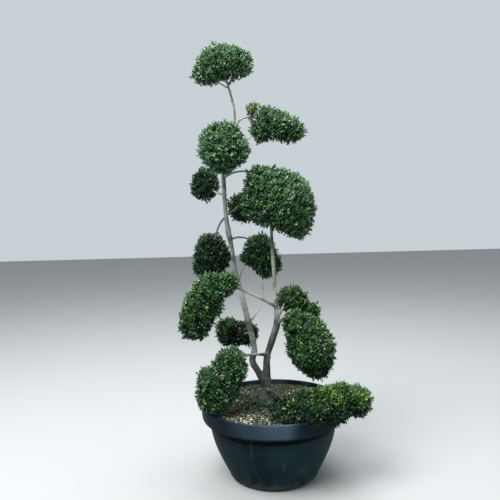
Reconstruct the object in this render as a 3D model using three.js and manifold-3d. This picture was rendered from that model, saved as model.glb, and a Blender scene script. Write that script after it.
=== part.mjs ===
// A potted Japanese holly, trained as a cloud tree: two bare stems rise from one short trunk,
// and each bough ends in a clipped cloud of small leaves. It stands in a wide plastic bowl.
// Millimetres, +Z up, +Y away from the front. The origin is the centre of the pot's flat underside.
import * as THREE from "three";
import { mergeVertices } from "three/addons/utils/BufferGeometryUtils.js";
import Module from "manifold-3d";

const wasm = await Module();
wasm.setup();

// Driving sizes of the pot and its soil
const POT_RADIUS = 280;
const POT_HEIGHT = 292;
const POT_FOOT_RADIUS = 136;
const POT_HEEL_RADIUS = 163;
const POT_WAIST_RADIUS = 246;
const POT_WAIST_HEIGHT = 214;
const POT_SWELL = 1.42;
const POT_COLLAR_HEIGHT = 61;
const POT_WALL = 4;
const POT_SIDES = 44;
const SOIL_BELOW_RIM = 17;
const SOIL_SHOULDER_RADIUS = 200;
const SOIL_DISC_RADIUS = 95;
const SOIL_TOP = 282;

// Clearances between neighbouring pieces
const GAP = 0.3;
const GAP_AT_FACETS = 0.36;
const LEAF_CLEARANCE = 1.5;
const POT_MARGIN = 2;

// Driving sizes of the foliage: each leaf here stands for a spray of real ones
const SHELL = 9;
const CORE_SWELL_LEAST = 0.97;
const CORE_SWELL_SPREAD = 0.1;
const FINE_CORE_RADIUS = 90;
const COARSE_CORE_RADIUS = 45;
const LEAF_LENGTH = 44;
const LEAF_WIDTH = 24;
const LEAF_THICKNESS = 2.6;
const LEAF_WIDEST = 0.52;
const LEAF_ROOT = 3;
const TWIG_RADIUS = 2.6;
const CLOUD_STEM_REACH = 0.7;

// Sprigs are twigs with a leaf to each side, sprays are leaves alone. area is what each one covers.
const SPRIG = { area: 32000, depth: 22, height: 3.5, lean: 0.8, lift: 0.42, leafPlaces: [0.5, 0.72] };
const SPRAY = { area: 11500, sunk: 0.85, lift: 0.7, spread: 0.8, longer: 1.05 };
const LENGTH_SPREAD = 0.3;
const FIRST_SEED = 1000;
const GOLDEN_ANGLE = Math.PI * (3 - Math.sqrt(5));

// Stems and boughs. A path holds [x, y, z, radius]; it starts inside its parent, which cuts it back.
const STEMS = [
  {
    name: "trunk",
    sides: 12,
    steps: 6,
    flare: 0.16,
    path: [
      [-32, 20, 268, 30], [-31, 20, 284, 26], [-29, 20, 300, 22.5], [-25, 20, 330, 20.2],
      [-20, 20, 374, 19.6],
    ],
  },
  {
    name: "right_stem",
    parents: ["trunk"],
    sides: 8,
    steps: 18,
    path: [
      [-20, 20, 366, 17], [-16, 20, 460, 13], [4, 20, 520, 13.5], [26, 20, 591, 13.5], [25, 19, 640, 9],
      [20, 12, 726, 7.6], [18, 2, 797, 7.8], [14, -10, 864, 7.4], [10, -36, 976, 5.8],
    ],
  },
  {
    name: "left_stem",
    parents: ["trunk", "right_stem"],
    sides: 8,
    steps: 20,
    path: [
      [-26, 20, 346, 16], [-54, 20, 401, 13.5], [-75, 20, 442, 13.2], [-66, 20, 486, 11.8],
      [-86, 15, 594, 12.2], [-106, 10, 686, 11.6], [-132, 8, 801, 8.6], [-146, 14, 905, 9.4],
      [-156, 18, 955, 11.6],
    ],
  },
  {
    name: "leader",
    parents: ["left_stem"],
    sides: 8,
    steps: 14,
    path: [
      [-155, 18, 951, 11.6], [-162, 20, 1000, 9.2], [-168, 26, 1119, 9], [-169, 30, 1169, 9],
      [-162, 32, 1235, 8.6], [-136, 28, 1311, 8], [-119, 22, 1361, 7.6],
    ],
  },
  {
    name: "crown_stem",
    parents: ["leader"],
    sides: 7,
    steps: 7,
    path: [[-121, 22, 1354, 5.4], [-119, 20, 1418, 4.8], [-126, 20, 1460, 4.8], [-147, 20, 1540, 4.6]],
  },
];

// A bough springs from its parent at from, bows by rise over its length, and tapers to its tip.
const BOUGHS = [
  {
    name: "upper_right_bough",
    parents: ["leader", "crown_stem"],
    from: [-119, 22, 1352],
    to: [-48, 29, 1397],
    rise: [-12, 0, 16],
    radii: [5, 3.6],
  },
  {
    name: "upper_right_twig",
    parents: ["leader"],
    from: [-152, 30, 1262],
    to: [-30, 26, 1343],
    rise: [0, -8, -6],
    radii: [3.2, 2],
  },
  {
    name: "upper_left_bough",
    parents: ["leader"],
    from: [-168, 30, 1138],
    to: [-166, -44, 1196],
    rise: [0, -10, -6],
    radii: [5, 4],
  },
  {
    name: "great_bough",
    parents: ["leader"],
    from: [-167, 30, 1168],
    to: [-60, -50, 1178],
    rise: [0, -6, 12],
    radii: [4.8, 3.4],
  },
  {
    name: "back_left_high_bough",
    parents: ["leader"],
    from: [-167, 26, 1104],
    to: [-220, 96, 1126],
    rise: [0, 6, -6],
    radii: [4.6, 3.2],
  },
  {
    name: "back_middle_high_bough",
    parents: ["leader"],
    from: [-163, 22, 1022],
    to: [-118, 80, 1057],
    rise: [2, 2, -4],
    radii: [4.6, 3.2],
  },
  {
    name: "back_left_bough",
    parents: ["leader"],
    from: [-162, 20, 1014],
    to: [-212, 92, 930],
    rise: [-4, 6, 14],
    radii: [4.8, 3.4],
  },
  {
    name: "back_middle_bough",
    parents: ["left_stem"],
    from: [-148, 14, 926],
    to: [-62, 92, 914],
    rise: [0, 0, 12],
    radii: [4.6, 3.4],
  },
  {
    name: "back_middle_low_twig",
    parents: ["left_stem"],
    from: [-120, 10, 748],
    to: [-92, 102, 826],
    rise: [-4, 0, 4],
    radii: [3, 2],
  },
  {
    name: "back_middle_twig",
    parents: ["left_stem"],
    from: [-84, 15, 598],
    to: [-34, 106, 782],
    rise: [28, 0, -12],
    radii: [4.4, 2.2],
  },
  {
    name: "left_bough",
    parents: ["right_stem"],
    from: [24, 19, 656],
    to: [-150, -70, 756],
    rise: [4, -6, 3],
    radii: [6.4, 4.8],
  },
  {
    name: "back_left_low_bough",
    parents: ["left_stem"],
    from: [-79, 18, 552],
    to: [-106, 88, 536],
    rise: [0, 0, 3],
    radii: [4.4, 3.2],
  },
  {
    name: "back_right_bough",
    parents: ["right_stem"],
    from: [27, 20, 604],
    to: [60, 88, 657],
    rise: [0, 0, -5],
    radii: [5, 3.6],
  },
  {
    name: "right_bough",
    parents: ["right_stem"],
    from: [27, 19, 584],
    to: [66, -22, 617],
    rise: [0, -2, 8],
    radii: [6.4, 4.6],
  },
  {
    name: "pot_left_bough",
    parents: ["right_stem"],
    from: [-16, 20, 464],
    to: [-122, -90, 487],
    rise: [6, -8, 8],
    radii: [7.2, 4.8],
  },
  {
    name: "pot_right_bough",
    parents: ["trunk"],
    from: [-25, 20, 326],
    to: [46, -134, 322],
    rise: [0, -6, 12],
    radii: [6.6, 4.8],
  },
];


// Each cloud is a few overlapping lobes [x, y, z, radius] on the tip of one limb; flat squashes them.
const CLOUDS = [
  {
    name: "crown_cloud",
    limb: "crown_stem",
    flat: 0.72,
    lobes: [
      [-166, 20, 1605, 102], [-221, 14, 1561, 64], [-105, 30, 1616, 66], [-98, 12, 1577, 55],
    ],
  },
  {
    name: "upper_right_cloud",
    limb: "upper_right_bough",
    lobes: [
      [2, 30, 1386, 60], [60, 30, 1361, 60], [107, 34, 1345, 49], [-18, 26, 1346, 50],
      [-51, 30, 1432, 23],
    ],
  },
  {
    name: "upper_left_cloud",
    limb: "upper_left_bough",
    lobes: [
      [-179, -92, 1269, 84], [-164, -88, 1320, 53], [-108, -92, 1254, 52], [-161, -82, 1213, 51],
      [-121, -84, 1318, 39],
    ],
  },
  {
    name: "great_cloud",
    limb: "right_stem",
    lobes: [
      [45, -74, 1072, 120], [-22, -76, 1139, 69], [-43, -76, 1051, 65], [109, -72, 1032, 73],
      [104, -84, 976, 56],
    ],
  },
  {
    name: "back_left_high_cloud",
    limb: "back_left_high_bough",
    lobes: [
      [-251, 134, 1140, 62], [-246, 140, 1181, 47],
    ],
  },
  {
    name: "back_middle_high_cloud",
    limb: "back_middle_high_bough",
    lobes: [
      [-97, 134, 1054, 66], [-52, 140, 1061, 54],
    ],
  },
  {
    name: "back_left_cloud",
    limb: "back_left_bough",
    lobes: [
      [-233, 126, 885, 70], [-248, 126, 815, 68], [-193, 122, 847, 51],
    ],
  },
  {
    name: "back_middle_cloud",
    limb: "back_middle_bough",
    lobes: [
      [-32, 124, 884, 66], [-4, 126, 821, 64], [-70, 122, 848, 47],
    ],
  },
  {
    name: "left_cloud",
    limb: "left_bough",
    lobes: [
      [-221, -104, 752, 61], [-158, -98, 768, 46], [-254, -104, 692, 76], [-283, -102, 624, 68],
    ],
  },
  {
    name: "back_left_low_cloud",
    limb: "back_left_low_bough",
    lobes: [
      [-165, 132, 537, 67], [-94, 136, 530, 56],
    ],
  },
  {
    name: "back_right_cloud",
    limb: "back_right_bough",
    lobes: [
      [83, 124, 670, 56], [120, 120, 674, 43], [160, 124, 614, 56],
    ],
  },
  {
    name: "right_cloud",
    limb: "right_bough",
    lobes: [
      [96, -48, 600, 60], [159, -50, 562, 67], [154, -54, 497, 90], [86, -50, 514, 38],
      [172, -54, 443, 61],
    ],
  },
  {
    name: "pot_left_cloud",
    limb: "pot_left_bough",
    lobes: [
      [-154, -128, 475, 65], [-142, -126, 434, 52], [-218, -134, 403, 72], [-224, -134, 347, 66],
      [-168, -132, 375, 50],
    ],
  },
  {
    name: "pot_right_cloud",
    limb: "pot_right_bough",
    lobes: [
      [116, -168, 324, 60], [50, -164, 309, 42], [186, -162, 331, 66], [246, -152, 344, 60],
      [305, -146, 326, 61], [138, -230, 314, 52], [215, -194, 312, 57], [86, -214, 312, 48],
    ],
  },
];

const paint = {
  pot: new THREE.MeshStandardMaterial({ color: 0x2d3439, roughness: 0.55, metalness: 0 }),
  soil: new THREE.MeshStandardMaterial({ color: 0x4a3a2c, roughness: 1, metalness: 0 }),
  bark: new THREE.MeshStandardMaterial({ color: 0x7b7363, roughness: 0.9, metalness: 0 }),
  leaf: new THREE.MeshStandardMaterial({ color: 0x2f5a2c, roughness: 0.4, metalness: 0 }),
};

// Seeded random numbers, so that each build is the same.
function randomFrom(seed) {
  let state = seed >>> 0;
  return () => {
    state = (state + 0x6d2b79f5) >>> 0;
    let t = Math.imul(state ^ (state >>> 15), 1 | state);
    t = (t + Math.imul(t ^ (t >>> 7), 61 | t)) ^ t;
    return ((t ^ (t >>> 14)) >>> 0) / 4294967296;
  };
}

// From a closed three.js geometry to a solid that can be joined and cut.
function solidOf(geometry) {
  const bare = geometry.clone();
  bare.deleteAttribute("normal");
  bare.deleteAttribute("uv");
  const merged = mergeVertices(bare, 1e-4);
  return new wasm.Manifold(
    new wasm.Mesh({
      numProp: 3,
      vertProperties: merged.attributes.position.array,
      triVerts: new Uint32Array(merged.index.array),
    }),
  );
}

function geometryOf(solid) {
  const mesh = solid.getMesh();
  const geometry = new THREE.BufferGeometry();
  geometry.setAttribute("position", new THREE.BufferAttribute(mesh.vertProperties, 3));
  geometry.setIndex(new THREE.BufferAttribute(mesh.triVerts, 1));
  geometry.computeVertexNormals();
  return geometry;
}

const joined = (solids) => solids.reduce((whole, next) => whole.add(next));
const meets = (a, b) => a.intersect(b).volume() > 0;

// The largest of the bodies that a cut leaves.
function largest(solid) {
  return solid.decompose().reduce((best, next) => (next.volume() > best.volume() ? next : best));
}

function closedSurface(points, triangles) {
  const geometry = new THREE.BufferGeometry();
  geometry.setAttribute("position", new THREE.Float32BufferAttribute(points.flatMap((p) => p.toArray()), 3));
  geometry.setIndex(triangles);
  return geometry;
}

// A tapering limb along points, with a ring of corners at each step and a flat cut at both ends.
function limb({ points, radii, sides, steps, flare = 0, grow = 0 }) {
  const curve = new THREE.CatmullRomCurve3(points, false, "centripetal");
  const frames = curve.computeFrenetFrames(steps, false);
  const corners = [];
  for (let step = 0; step <= steps; step += 1) {
    const u = step / steps;
    const at = curve.getPointAt(u);
    if (step === 0) at.addScaledVector(frames.tangents[0], -grow);
    if (step === steps) at.addScaledVector(frames.tangents[steps], grow);
    const span = curve.getUtoTmapping(u) * (radii.length - 1);
    const first = Math.min(Math.floor(span), radii.length - 2);
    const radius = THREE.MathUtils.lerp(radii[first], radii[first + 1], span - first) + grow;
    for (let side = 0; side < sides; side += 1) {
      const turn = (side / sides) * 2 * Math.PI;
      const ridge = 1 + flare * (1 - u) ** 3 * Math.cos(4 * turn);
      corners.push(
        at
          .clone()
          .addScaledVector(frames.normals[step], Math.cos(turn) * radius * ridge)
          .addScaledVector(frames.binormals[step], Math.sin(turn) * radius * ridge),
      );
    }
  }
  const triangles = [];
  for (let step = 0; step < steps; step += 1) {
    for (let side = 0; side < sides; side += 1) {
      const a = step * sides + side;
      const b = step * sides + ((side + 1) % sides);
      triangles.push(a, b, b + sides, a, b + sides, a + sides);
    }
  }
  const last = steps * sides;
  for (let side = 1; side < sides - 1; side += 1) {
    triangles.push(0, side + 1, side, last, last + side, last + side + 1);
  }
  return solidOf(closedSurface(corners, triangles));
}

// The two ends and the bowed middle of a bough, and its radii there.
function bowed({ from, to, rise, radii }) {
  const [start, end, bow] = [from, to, rise].map((p) => new THREE.Vector3(...p));
  const at = (u) => start.clone().lerp(end, u).addScaledVector(bow, 4 * u * (1 - u));
  const places = [0, 0.3, 0.6, 1];
  return {
    points: places.map(at),
    radii: places.map((u) => THREE.MathUtils.lerp(radii[0], radii[1], u)),
  };
}

// One leaf that stands for a spray: a flat-backed blade with a raised midrib, pointed at both ends.
// It grows from root along way, and its ridge looks along face.
function leaf(root, way, face, length = LEAF_LENGTH) {
  const ahead = way.clone().normalize();
  const across = new THREE.Vector3().crossVectors(ahead, face).normalize();
  const up = new THREE.Vector3().crossVectors(across, ahead);
  const middle = root.clone().addScaledVector(ahead, length * LEAF_WIDEST);
  const halfWidth = (LEAF_WIDTH / 2) * (length / LEAF_LENGTH);
  const points = [
    root,
    root.clone().addScaledVector(ahead, length),
    middle.clone().addScaledVector(across, halfWidth),
    middle.clone().addScaledVector(across, -halfWidth),
    middle.clone().addScaledVector(up, LEAF_THICKNESS),
  ];
  return solidOf(closedSurface(points, [0, 2, 4, 0, 4, 3, 1, 4, 2, 1, 3, 4, 0, 3, 1, 0, 1, 2]));
}

// A pointed three-sided twig.
function twigOf(root, tip, aside) {
  const way = tip.clone().sub(root).normalize();
  const corners = [0, 1, 2].map((corner) => {
    const arm = aside.clone().applyAxisAngle(way, (corner / 3) * 2 * Math.PI);
    return root.clone().addScaledVector(arm, TWIG_RADIUS);
  });
  return solidOf(closedSurface([...corners, tip], [0, 2, 1, 0, 1, 3, 1, 2, 3, 2, 0, 3]));
}

// Places spread evenly over a lobe's surface, each with its outward way.
function spread(count, lobe, flat, turn) {
  const [x, y, z, radius] = lobe;
  return Array.from({ length: count }, (_, i) => {
    const height = 1 - (2 * i + 1) / count;
    const ring = Math.sqrt(1 - height * height);
    const angle = i * GOLDEN_ANGLE + turn;
    const way = new THREE.Vector3(ring * Math.cos(angle), ring * Math.sin(angle), height);
    const at = new THREE.Vector3(x + way.x * radius, y + way.y * radius, z + way.z * radius * flat);
    return { at, way: new THREE.Vector3(way.x, way.y, way.z / flat).normalize() };
  });
}

const inside = (p, [x, y, z, radius], flat) => {
  return (p.x - x) ** 2 + (p.y - y) ** 2 + ((p.z - z) / flat) ** 2 < radius ** 2;
};

// A ball with few faces where it is small.
function roundBall(size) {
  if (size < COARSE_CORE_RADIUS) return new THREE.OctahedronGeometry(size, 1);
  return new THREE.IcosahedronGeometry(size, size > FINE_CORE_RADIUS ? 2 : 1);
}

// The smaller core of a cloud: one lumpy ball for each lobe, set back from the outline by the shell.
function core({ lobes, flat = 1 }, random) {
  const balls = lobes.map(([x, y, z, radius]) => {
    const ball = roundBall(radius - SHELL);
    ball.deleteAttribute("normal");
    ball.deleteAttribute("uv");
    const lumpy = mergeVertices(ball, 1e-3);
    const places = lumpy.attributes.position;
    for (let i = 0; i < places.count; i += 1) {
      const swell = CORE_SWELL_LEAST + CORE_SWELL_SPREAD * random();
      places.setXYZ(i, places.getX(i) * swell, places.getY(i) * swell, places.getZ(i) * swell * flat);
    }
    return solidOf(lumpy.translate(x, y, z));
  });
  return joined(balls);
}

// A seeded way across another one.
function acrossOf(way, random) {
  return new THREE.Vector3(random() - 0.5, random() - 0.5, random() - 0.2).cross(way).normalize();
}

// A sprig: a twig that leaves the core, with a leaf to each side, one above the other.
function sprig(at, way, random) {
  const aside = acrossOf(way, random);
  const lean = way.clone().addScaledVector(aside, SPRIG.lean * (random() - 0.5)).normalize();
  const root = at.clone().addScaledVector(lean, -SPRIG.depth);
  const tip = at.clone().addScaledVector(lean, SPRIG.height);
  const leaves = SPRIG.leafPlaces.map((place, index) => {
    const side = index === 0 ? -1 : 1;
    const ahead = lean.clone().multiplyScalar(SPRIG.lift).addScaledVector(aside, side).normalize();
    const foot = root.clone().lerp(tip, place).addScaledVector(ahead, -LEAF_ROOT);
    return leaf(foot, ahead, lean, LEAF_LENGTH * (1 + LENGTH_SPREAD * (random() - 0.5)));
  });
  return joined([twigOf(root, tip, aside), ...leaves]);
}

// A spray: one leaf alone, its root sunk in the core.
function spray(at, way, random) {
  const ahead = way.clone().multiplyScalar(SPRAY.lift).addScaledVector(acrossOf(way, random), SPRAY.spread);
  ahead.normalize();
  const length = LEAF_LENGTH * (SPRAY.longer + LENGTH_SPREAD * random());
  return leaf(at.clone().addScaledVector(ahead, -length * SPRAY.sunk), ahead, way, length);
}

// A whole cloud: its stem, its core, and every sprig and spray that keeps clear of what is near.
function cloud(plan, tip, seed) {
  const random = randomFrom(seed);
  const { lobes, flat = 1 } = plan;
  const heart = new THREE.Vector3(...lobes[0].slice(0, 3));
  const stem = limb({
    points: [tip.at.clone().addScaledVector(tip.way, -GAP), tip.at.clone().lerp(heart, CLOUD_STEM_REACH)],
    radii: [tip.radius * 0.9, tip.radius * 0.7],
    sides: 5,
    steps: 1,
  });
  const kept = [];
  const put = (solid) => {
    if (!obstacles.some(({ grown }) => meets(grown, solid))) kept.push(solid);
  };
  lobes.forEach((lobe, index) => {
    const area = 4 * Math.PI * lobe[3] ** 2 * flat;
    const others = lobes.filter((_, other) => other !== index);
    const free = ({ at }) => !others.some((other) => inside(at, other, flat));
    const turn = 2 * Math.PI * random();
    const sprigPlaces = spread(Math.round(area / SPRIG.area), lobe, flat, turn).filter(free);
    sprigPlaces.forEach(({ at, way }) => put(sprig(at, way, random)));
    const sprayPlaces = spread(Math.round(area / SPRAY.area), lobe, flat, turn + 1).filter(free);
    sprayPlaces.forEach(({ at, way }) => put(spray(at, way, random)));
  });
  const whole = joined([core(plan, random), stem, ...kept]);
  return largest(obstacles.reduce((left, { close }) => left.subtract(close), whole));
}

// A surface turned about the pot's axis from a profile of [radius, height] that starts and ends on it.
function turned(profile) {
  const geometry = new THREE.LatheGeometry(profile.map(([r, z]) => new THREE.Vector2(r, z)), POT_SIDES);
  return geometry.rotateX(Math.PI / 2);
}

// The bowl's outer wall from foot to waist: it swells out, then straightens.
function bowlRadius(height) {
  const share = Math.min(1, height / POT_WAIST_HEIGHT);
  const swell = Math.sin(share * POT_SWELL) / Math.sin(POT_SWELL);
  return THREE.MathUtils.lerp(POT_HEEL_RADIUS, POT_WAIST_RADIUS, swell);
}

// Heights at which the bowl's wall bends, then [radius, height] of the step out under the collar
// and of the collar's outer face.
const wallHeights = [12, 50, 110, POT_WAIST_HEIGHT];
const collarFoot = POT_HEIGHT - POT_COLLAR_HEIGHT;
const stepOut = [
  [POT_WAIST_RADIUS + 3, collarFoot - 2],
  [POT_RADIUS - 14, collarFoot],
  [POT_RADIUS - 5, collarFoot + 8],
];
const collar = [
  [POT_RADIUS, POT_HEIGHT - 10],
  [POT_RADIUS - 1, POT_HEIGHT - 2],
];
const floorTop = POT_WALL + 2;

// The pot's inner face from its floor up to a height just under the rim.
function innerFace(inset) {
  const wall = wallHeights.map((z) => [bowlRadius(z) - POT_WALL - inset, Math.max(z, floorTop + 10)]);
  const step = stepOut.map(([r, z]) => [r - POT_WALL - inset, z + POT_WALL]);
  return [[POT_FOOT_RADIUS - inset, floorTop + inset], ...wall, ...step];
}

function pot() {
  const outerWall = wallHeights.map((z) => [bowlRadius(z), z]);
  const lip = [POT_RADIUS - 5, POT_HEIGHT];
  const lipInside = [POT_RADIUS - POT_WALL - 4, POT_HEIGHT - 5];
  const outside = [[0, 0], [POT_FOOT_RADIUS, 0], ...outerWall, ...stepOut, ...collar, lip];
  return turned([...outside, lipInside, ...innerFace(0).reverse(), [0, floorTop]]);
}

// The soil fills the pot a gap clear of it, nearly flat, with a level disc under the trunk.
function soil() {
  const edge = POT_HEIGHT - SOIL_BELOW_RIM;
  const inset = 2 * GAP;
  const top = [
    [POT_RADIUS - POT_WALL - 4 - inset, edge],
    [SOIL_SHOULDER_RADIUS, edge + 2],
    [SOIL_DISC_RADIUS, SOIL_TOP],
    [0, SOIL_TOP],
  ];
  return turned([[0, floorTop + inset], ...innerFace(inset), ...top]);
}

const group = new THREE.Group();
const limbs = new Map();
const obstacles = [];

function addMesh(name, geometry, material) {
  const mesh = new THREE.Mesh(geometry, material);
  mesh.name = name;
  group.add(mesh);
}

// A limb with its copies that cut neighbours back: one a gap larger, one that leaves may not touch.
function addLimb({ name, parents = [], points, radii, sides, steps, flare }) {
  const shape = { points, radii, sides, steps, flare };
  const cutters = parents.map((parent) => limbs.get(parent).close);
  const uncut = limb(shape).trimByPlane([0, 0, 1], SOIL_TOP + GAP);
  const solid = largest(cutters.reduce((left, cutter) => left.subtract(cutter), uncut));
  const close = limb({ ...shape, grow: GAP_AT_FACETS });
  const way = points.at(-1).clone().sub(points.at(-2)).normalize();
  limbs.set(name, { close, tip: { at: points.at(-1), way, radius: radii.at(-1) } });
  obstacles.push({ close, grown: limb({ ...shape, grow: LEAF_CLEARANCE }) });
  addMesh(name, geometryOf(solid), paint.bark);
}

addMesh("pot", pot(), paint.pot);
addMesh("soil", soil(), paint.soil);

STEMS.forEach((stem) => {
  const points = stem.path.map(([x, y, z]) => new THREE.Vector3(x, y, z));
  const radii = stem.path.map((place) => place[3]);
  addLimb({ ...stem, points, radii });
});
BOUGHS.forEach((bough) => addLimb({ ...bough, ...bowed(bough), sides: 6, steps: 5 }));

// What the foliage keeps clear of below: a plain drum a little larger than the filled pot.
const drumRadius = POT_RADIUS + POT_MARGIN;
const drum = new THREE.CylinderGeometry(drumRadius, drumRadius, POT_HEIGHT, POT_SIDES);
const potSpace = solidOf(drum.rotateX(Math.PI / 2).translate(0, 0, POT_HEIGHT / 2 + POT_MARGIN));
obstacles.push({ close: potSpace, grown: potSpace });

CLOUDS.forEach((plan, index) => {
  const solid = cloud(plan, limbs.get(plan.limb).tip, FIRST_SEED + index);
  addMesh(plan.name, geometryOf(solid), paint.leaf);
});

export default group;
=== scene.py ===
# %% [markdown]
# # A Japanese holly trained as a cloud tree, in its bowl
#
# The plant is a small-leaved evergreen. Two bare grey stems rise from one short trunk, and each
# bough ends in a clipped cloud of glossy leaves. It stands in a wide bowl of dark plastic, in
# compost strewn with bark chips and dead leaves.
#
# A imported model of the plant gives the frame: where the pot, the limbs and the clouds are. This
# lesson dresses that frame. Lengths are in metres, with +Z up and the front towards -Y. Only the
# two tables of limbs and the table of clouds are in millimetres, because they read easier so.

# %% Load the frame and keep its box
import itertools
import math

import bpy
import numpy as np
from mathutils import Matrix, Vector


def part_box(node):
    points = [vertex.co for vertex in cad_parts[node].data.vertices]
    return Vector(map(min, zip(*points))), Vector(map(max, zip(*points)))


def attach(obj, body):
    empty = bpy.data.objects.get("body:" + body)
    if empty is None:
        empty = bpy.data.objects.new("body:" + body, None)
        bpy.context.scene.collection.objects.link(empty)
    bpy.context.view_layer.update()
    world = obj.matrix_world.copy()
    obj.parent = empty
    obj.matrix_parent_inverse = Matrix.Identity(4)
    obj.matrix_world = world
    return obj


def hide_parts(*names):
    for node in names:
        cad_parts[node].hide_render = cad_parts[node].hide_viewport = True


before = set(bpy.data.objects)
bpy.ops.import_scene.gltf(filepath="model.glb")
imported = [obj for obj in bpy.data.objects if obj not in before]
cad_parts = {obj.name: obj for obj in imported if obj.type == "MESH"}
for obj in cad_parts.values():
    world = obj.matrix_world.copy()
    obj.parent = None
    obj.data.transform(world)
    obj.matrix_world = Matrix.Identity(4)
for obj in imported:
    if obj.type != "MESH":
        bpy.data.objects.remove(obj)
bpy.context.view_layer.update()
print("nodes in the frame:", len(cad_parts))

# %% [markdown]
# ## The camera
#
# The photograph was taken from a metre above the ground and two metres in front of the plant,
# looking down a little, with the camera turned slightly about its own axis. The view could be
# fitted by hand, but here it was worked out from the ellipses of the bowl's rim and the heights of
# the clouds.

# %% Camera
CAMERA_PLACE = (-0.073, -2.119, 0.994)
CAMERA_PITCH = math.radians(2.99)
CAMERA_ROLL = math.radians(1.49)
LENS_MM = 39.34
SENSOR_MM = 36.0
FARTHEST = 60

camera = bpy.data.objects.new("camera", bpy.data.cameras.new("camera"))
camera.data.lens = LENS_MM
camera.data.sensor_width = SENSOR_MM
camera.data.clip_end = FARTHEST
pitched = Matrix.Rotation(math.pi / 2 - CAMERA_PITCH, 4, "X")
rolled = Matrix.Rotation(-CAMERA_ROLL, 4, "Z")
camera.matrix_world = Matrix.Translation(CAMERA_PLACE) @ pitched @ rolled
bpy.context.collection.objects.link(camera)
bpy.context.scene.camera = camera
print("camera at", CAMERA_PLACE)

# %% [markdown]
# ## Small tools for shapes
#
# So many leaves can't be modelled one by one, and a particle system leaves nothing that can be
# exported. So every shape is an array of points and an array of corners, worked out with numpy.

# %% Shape helpers
UP = np.array((0.0, 0.0, 1.0))
NOISE_PRIMES = np.array((73856093, 19349663, 83492791))
NOISE_SEED_STEP = 2654435761
NOISE_MIXER = 1274126177


def unit(vectors):
    """The same directions with length one."""
    return vectors / np.maximum(np.linalg.norm(vectors, axis=-1, keepdims=True), 1e-12)


def distance(places, others):
    """How far each of the places is from the others."""
    return np.linalg.norm(places - others, axis=-1)


def round_about(turns, far=1.0):
    """Places in plan round the axis, at these turns and this far from it."""
    return np.stack((np.cos(turns), np.sin(turns)), axis=-1) * np.asarray(far)[..., None]


def headings(turns, rises):
    """Unit vectors that head to all sides and rise by so much."""
    return unit(np.concatenate((round_about(turns), np.asarray(rises)[..., None]), axis=-1))


def rumple(places, size, seed):
    """Smooth random heights between -1 and 1, with one bump for each size."""
    cell = np.floor(places / size).astype(np.int64)
    share = places / size - cell
    share = share * share * (3 - 2 * share)
    height = 0
    for corner in itertools.product((0, 1), repeat=3):
        key = (cell + np.array(corner)) @ NOISE_PRIMES + seed * NOISE_SEED_STEP
        key = (key ^ (key >> 13)) * NOISE_MIXER & 0xFFFFFFFF
        value = ((key ^ (key >> 16)) & 0xFFFF) / 32767.5 - 1
        height = height + value * np.prod(np.where(corner, share, 1 - share), axis=-1)
    return height


def reshape(mesh, points):
    """Move the vertices of a mesh to these points."""
    mesh.vertices.foreach_set("co", points.astype(np.float32).ravel())
    mesh.update()


def mesh_of(name, points, *face_groups):
    """A mesh from points (n, 3) and groups of faces, each group with its own count of corners."""
    mesh = bpy.data.meshes.new(name)
    mesh.vertices.add(len(points))
    reshape(mesh, points)
    corners = np.concatenate([group.ravel() for group in face_groups]).astype(np.int32)
    sizes = np.concatenate([np.full(len(group), group.shape[1]) for group in face_groups])
    mesh.loops.add(len(corners))
    mesh.loops.foreach_set("vertex_index", corners)
    mesh.polygons.add(len(sizes))
    mesh.polygons.foreach_set("loop_start", (np.cumsum(sizes) - sizes).astype(np.int32))
    mesh.polygons.foreach_set("use_smooth", np.ones(len(sizes), dtype=bool))
    mesh.update(calc_edges=True)
    return mesh


def put(mesh, slot, *nodes):
    """Show a mesh as a piece of the plant that takes the place of the named nodes."""
    piece = bpy.data.objects.new(mesh.name, mesh)
    bpy.context.collection.objects.link(piece)
    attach(piece, "root")
    if nodes:
        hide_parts(*nodes)
    return piece


def skin_between(rings):
    """Quads between each ring of corners and the next; rings is (..., rings, sides)."""
    after = np.roll(rings, -1, axis=-1)
    corners = (rings[..., :-1, :], after[..., :-1, :], after[..., 1:, :], rings[..., 1:, :])
    return np.stack(corners, axis=-1).reshape(-1, 4)


def turned(profile, sides):
    """Points, quads and end triangles of a surface turned about Z from an axis-to-axis profile."""
    rings = np.array(profile[1:-1])
    flat = rings[:, None, :1] * round_about(np.arange(sides) * math.tau / sides)
    heights = np.broadcast_to(rings[:, None, 1:], (len(rings), sides, 1))
    body = np.concatenate((flat, heights), axis=-1).reshape(-1, 3)
    poles = np.array(((0, 0, profile[0][1]), (0, 0, profile[-1][1])))
    here = np.arange(len(body)).reshape(len(rings), sides)
    after = np.roll(here, -1, axis=1)
    foot = np.stack((np.full(sides, len(body)), after[0], here[0]), axis=-1)
    cap = np.stack((np.full(sides, len(body) + 1), here[-1], after[-1]), axis=-1)
    return np.concatenate((body, poles)), skin_between(here), np.concatenate((foot, cap))


print("one bump of the height field:", rumple(np.array([[0.3, 0.2, 0.1]]), 0.05, 1))

# %% [markdown]
# ## Small tools for finishes
#
# A finish is a node tree. Linking nodes by hand hides the thought behind it, so one small class
# wraps a socket and lets Python's own signs add the Math nodes: (1 - mask) * 0.2 reads as it works.

# %% Shader helpers


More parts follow.
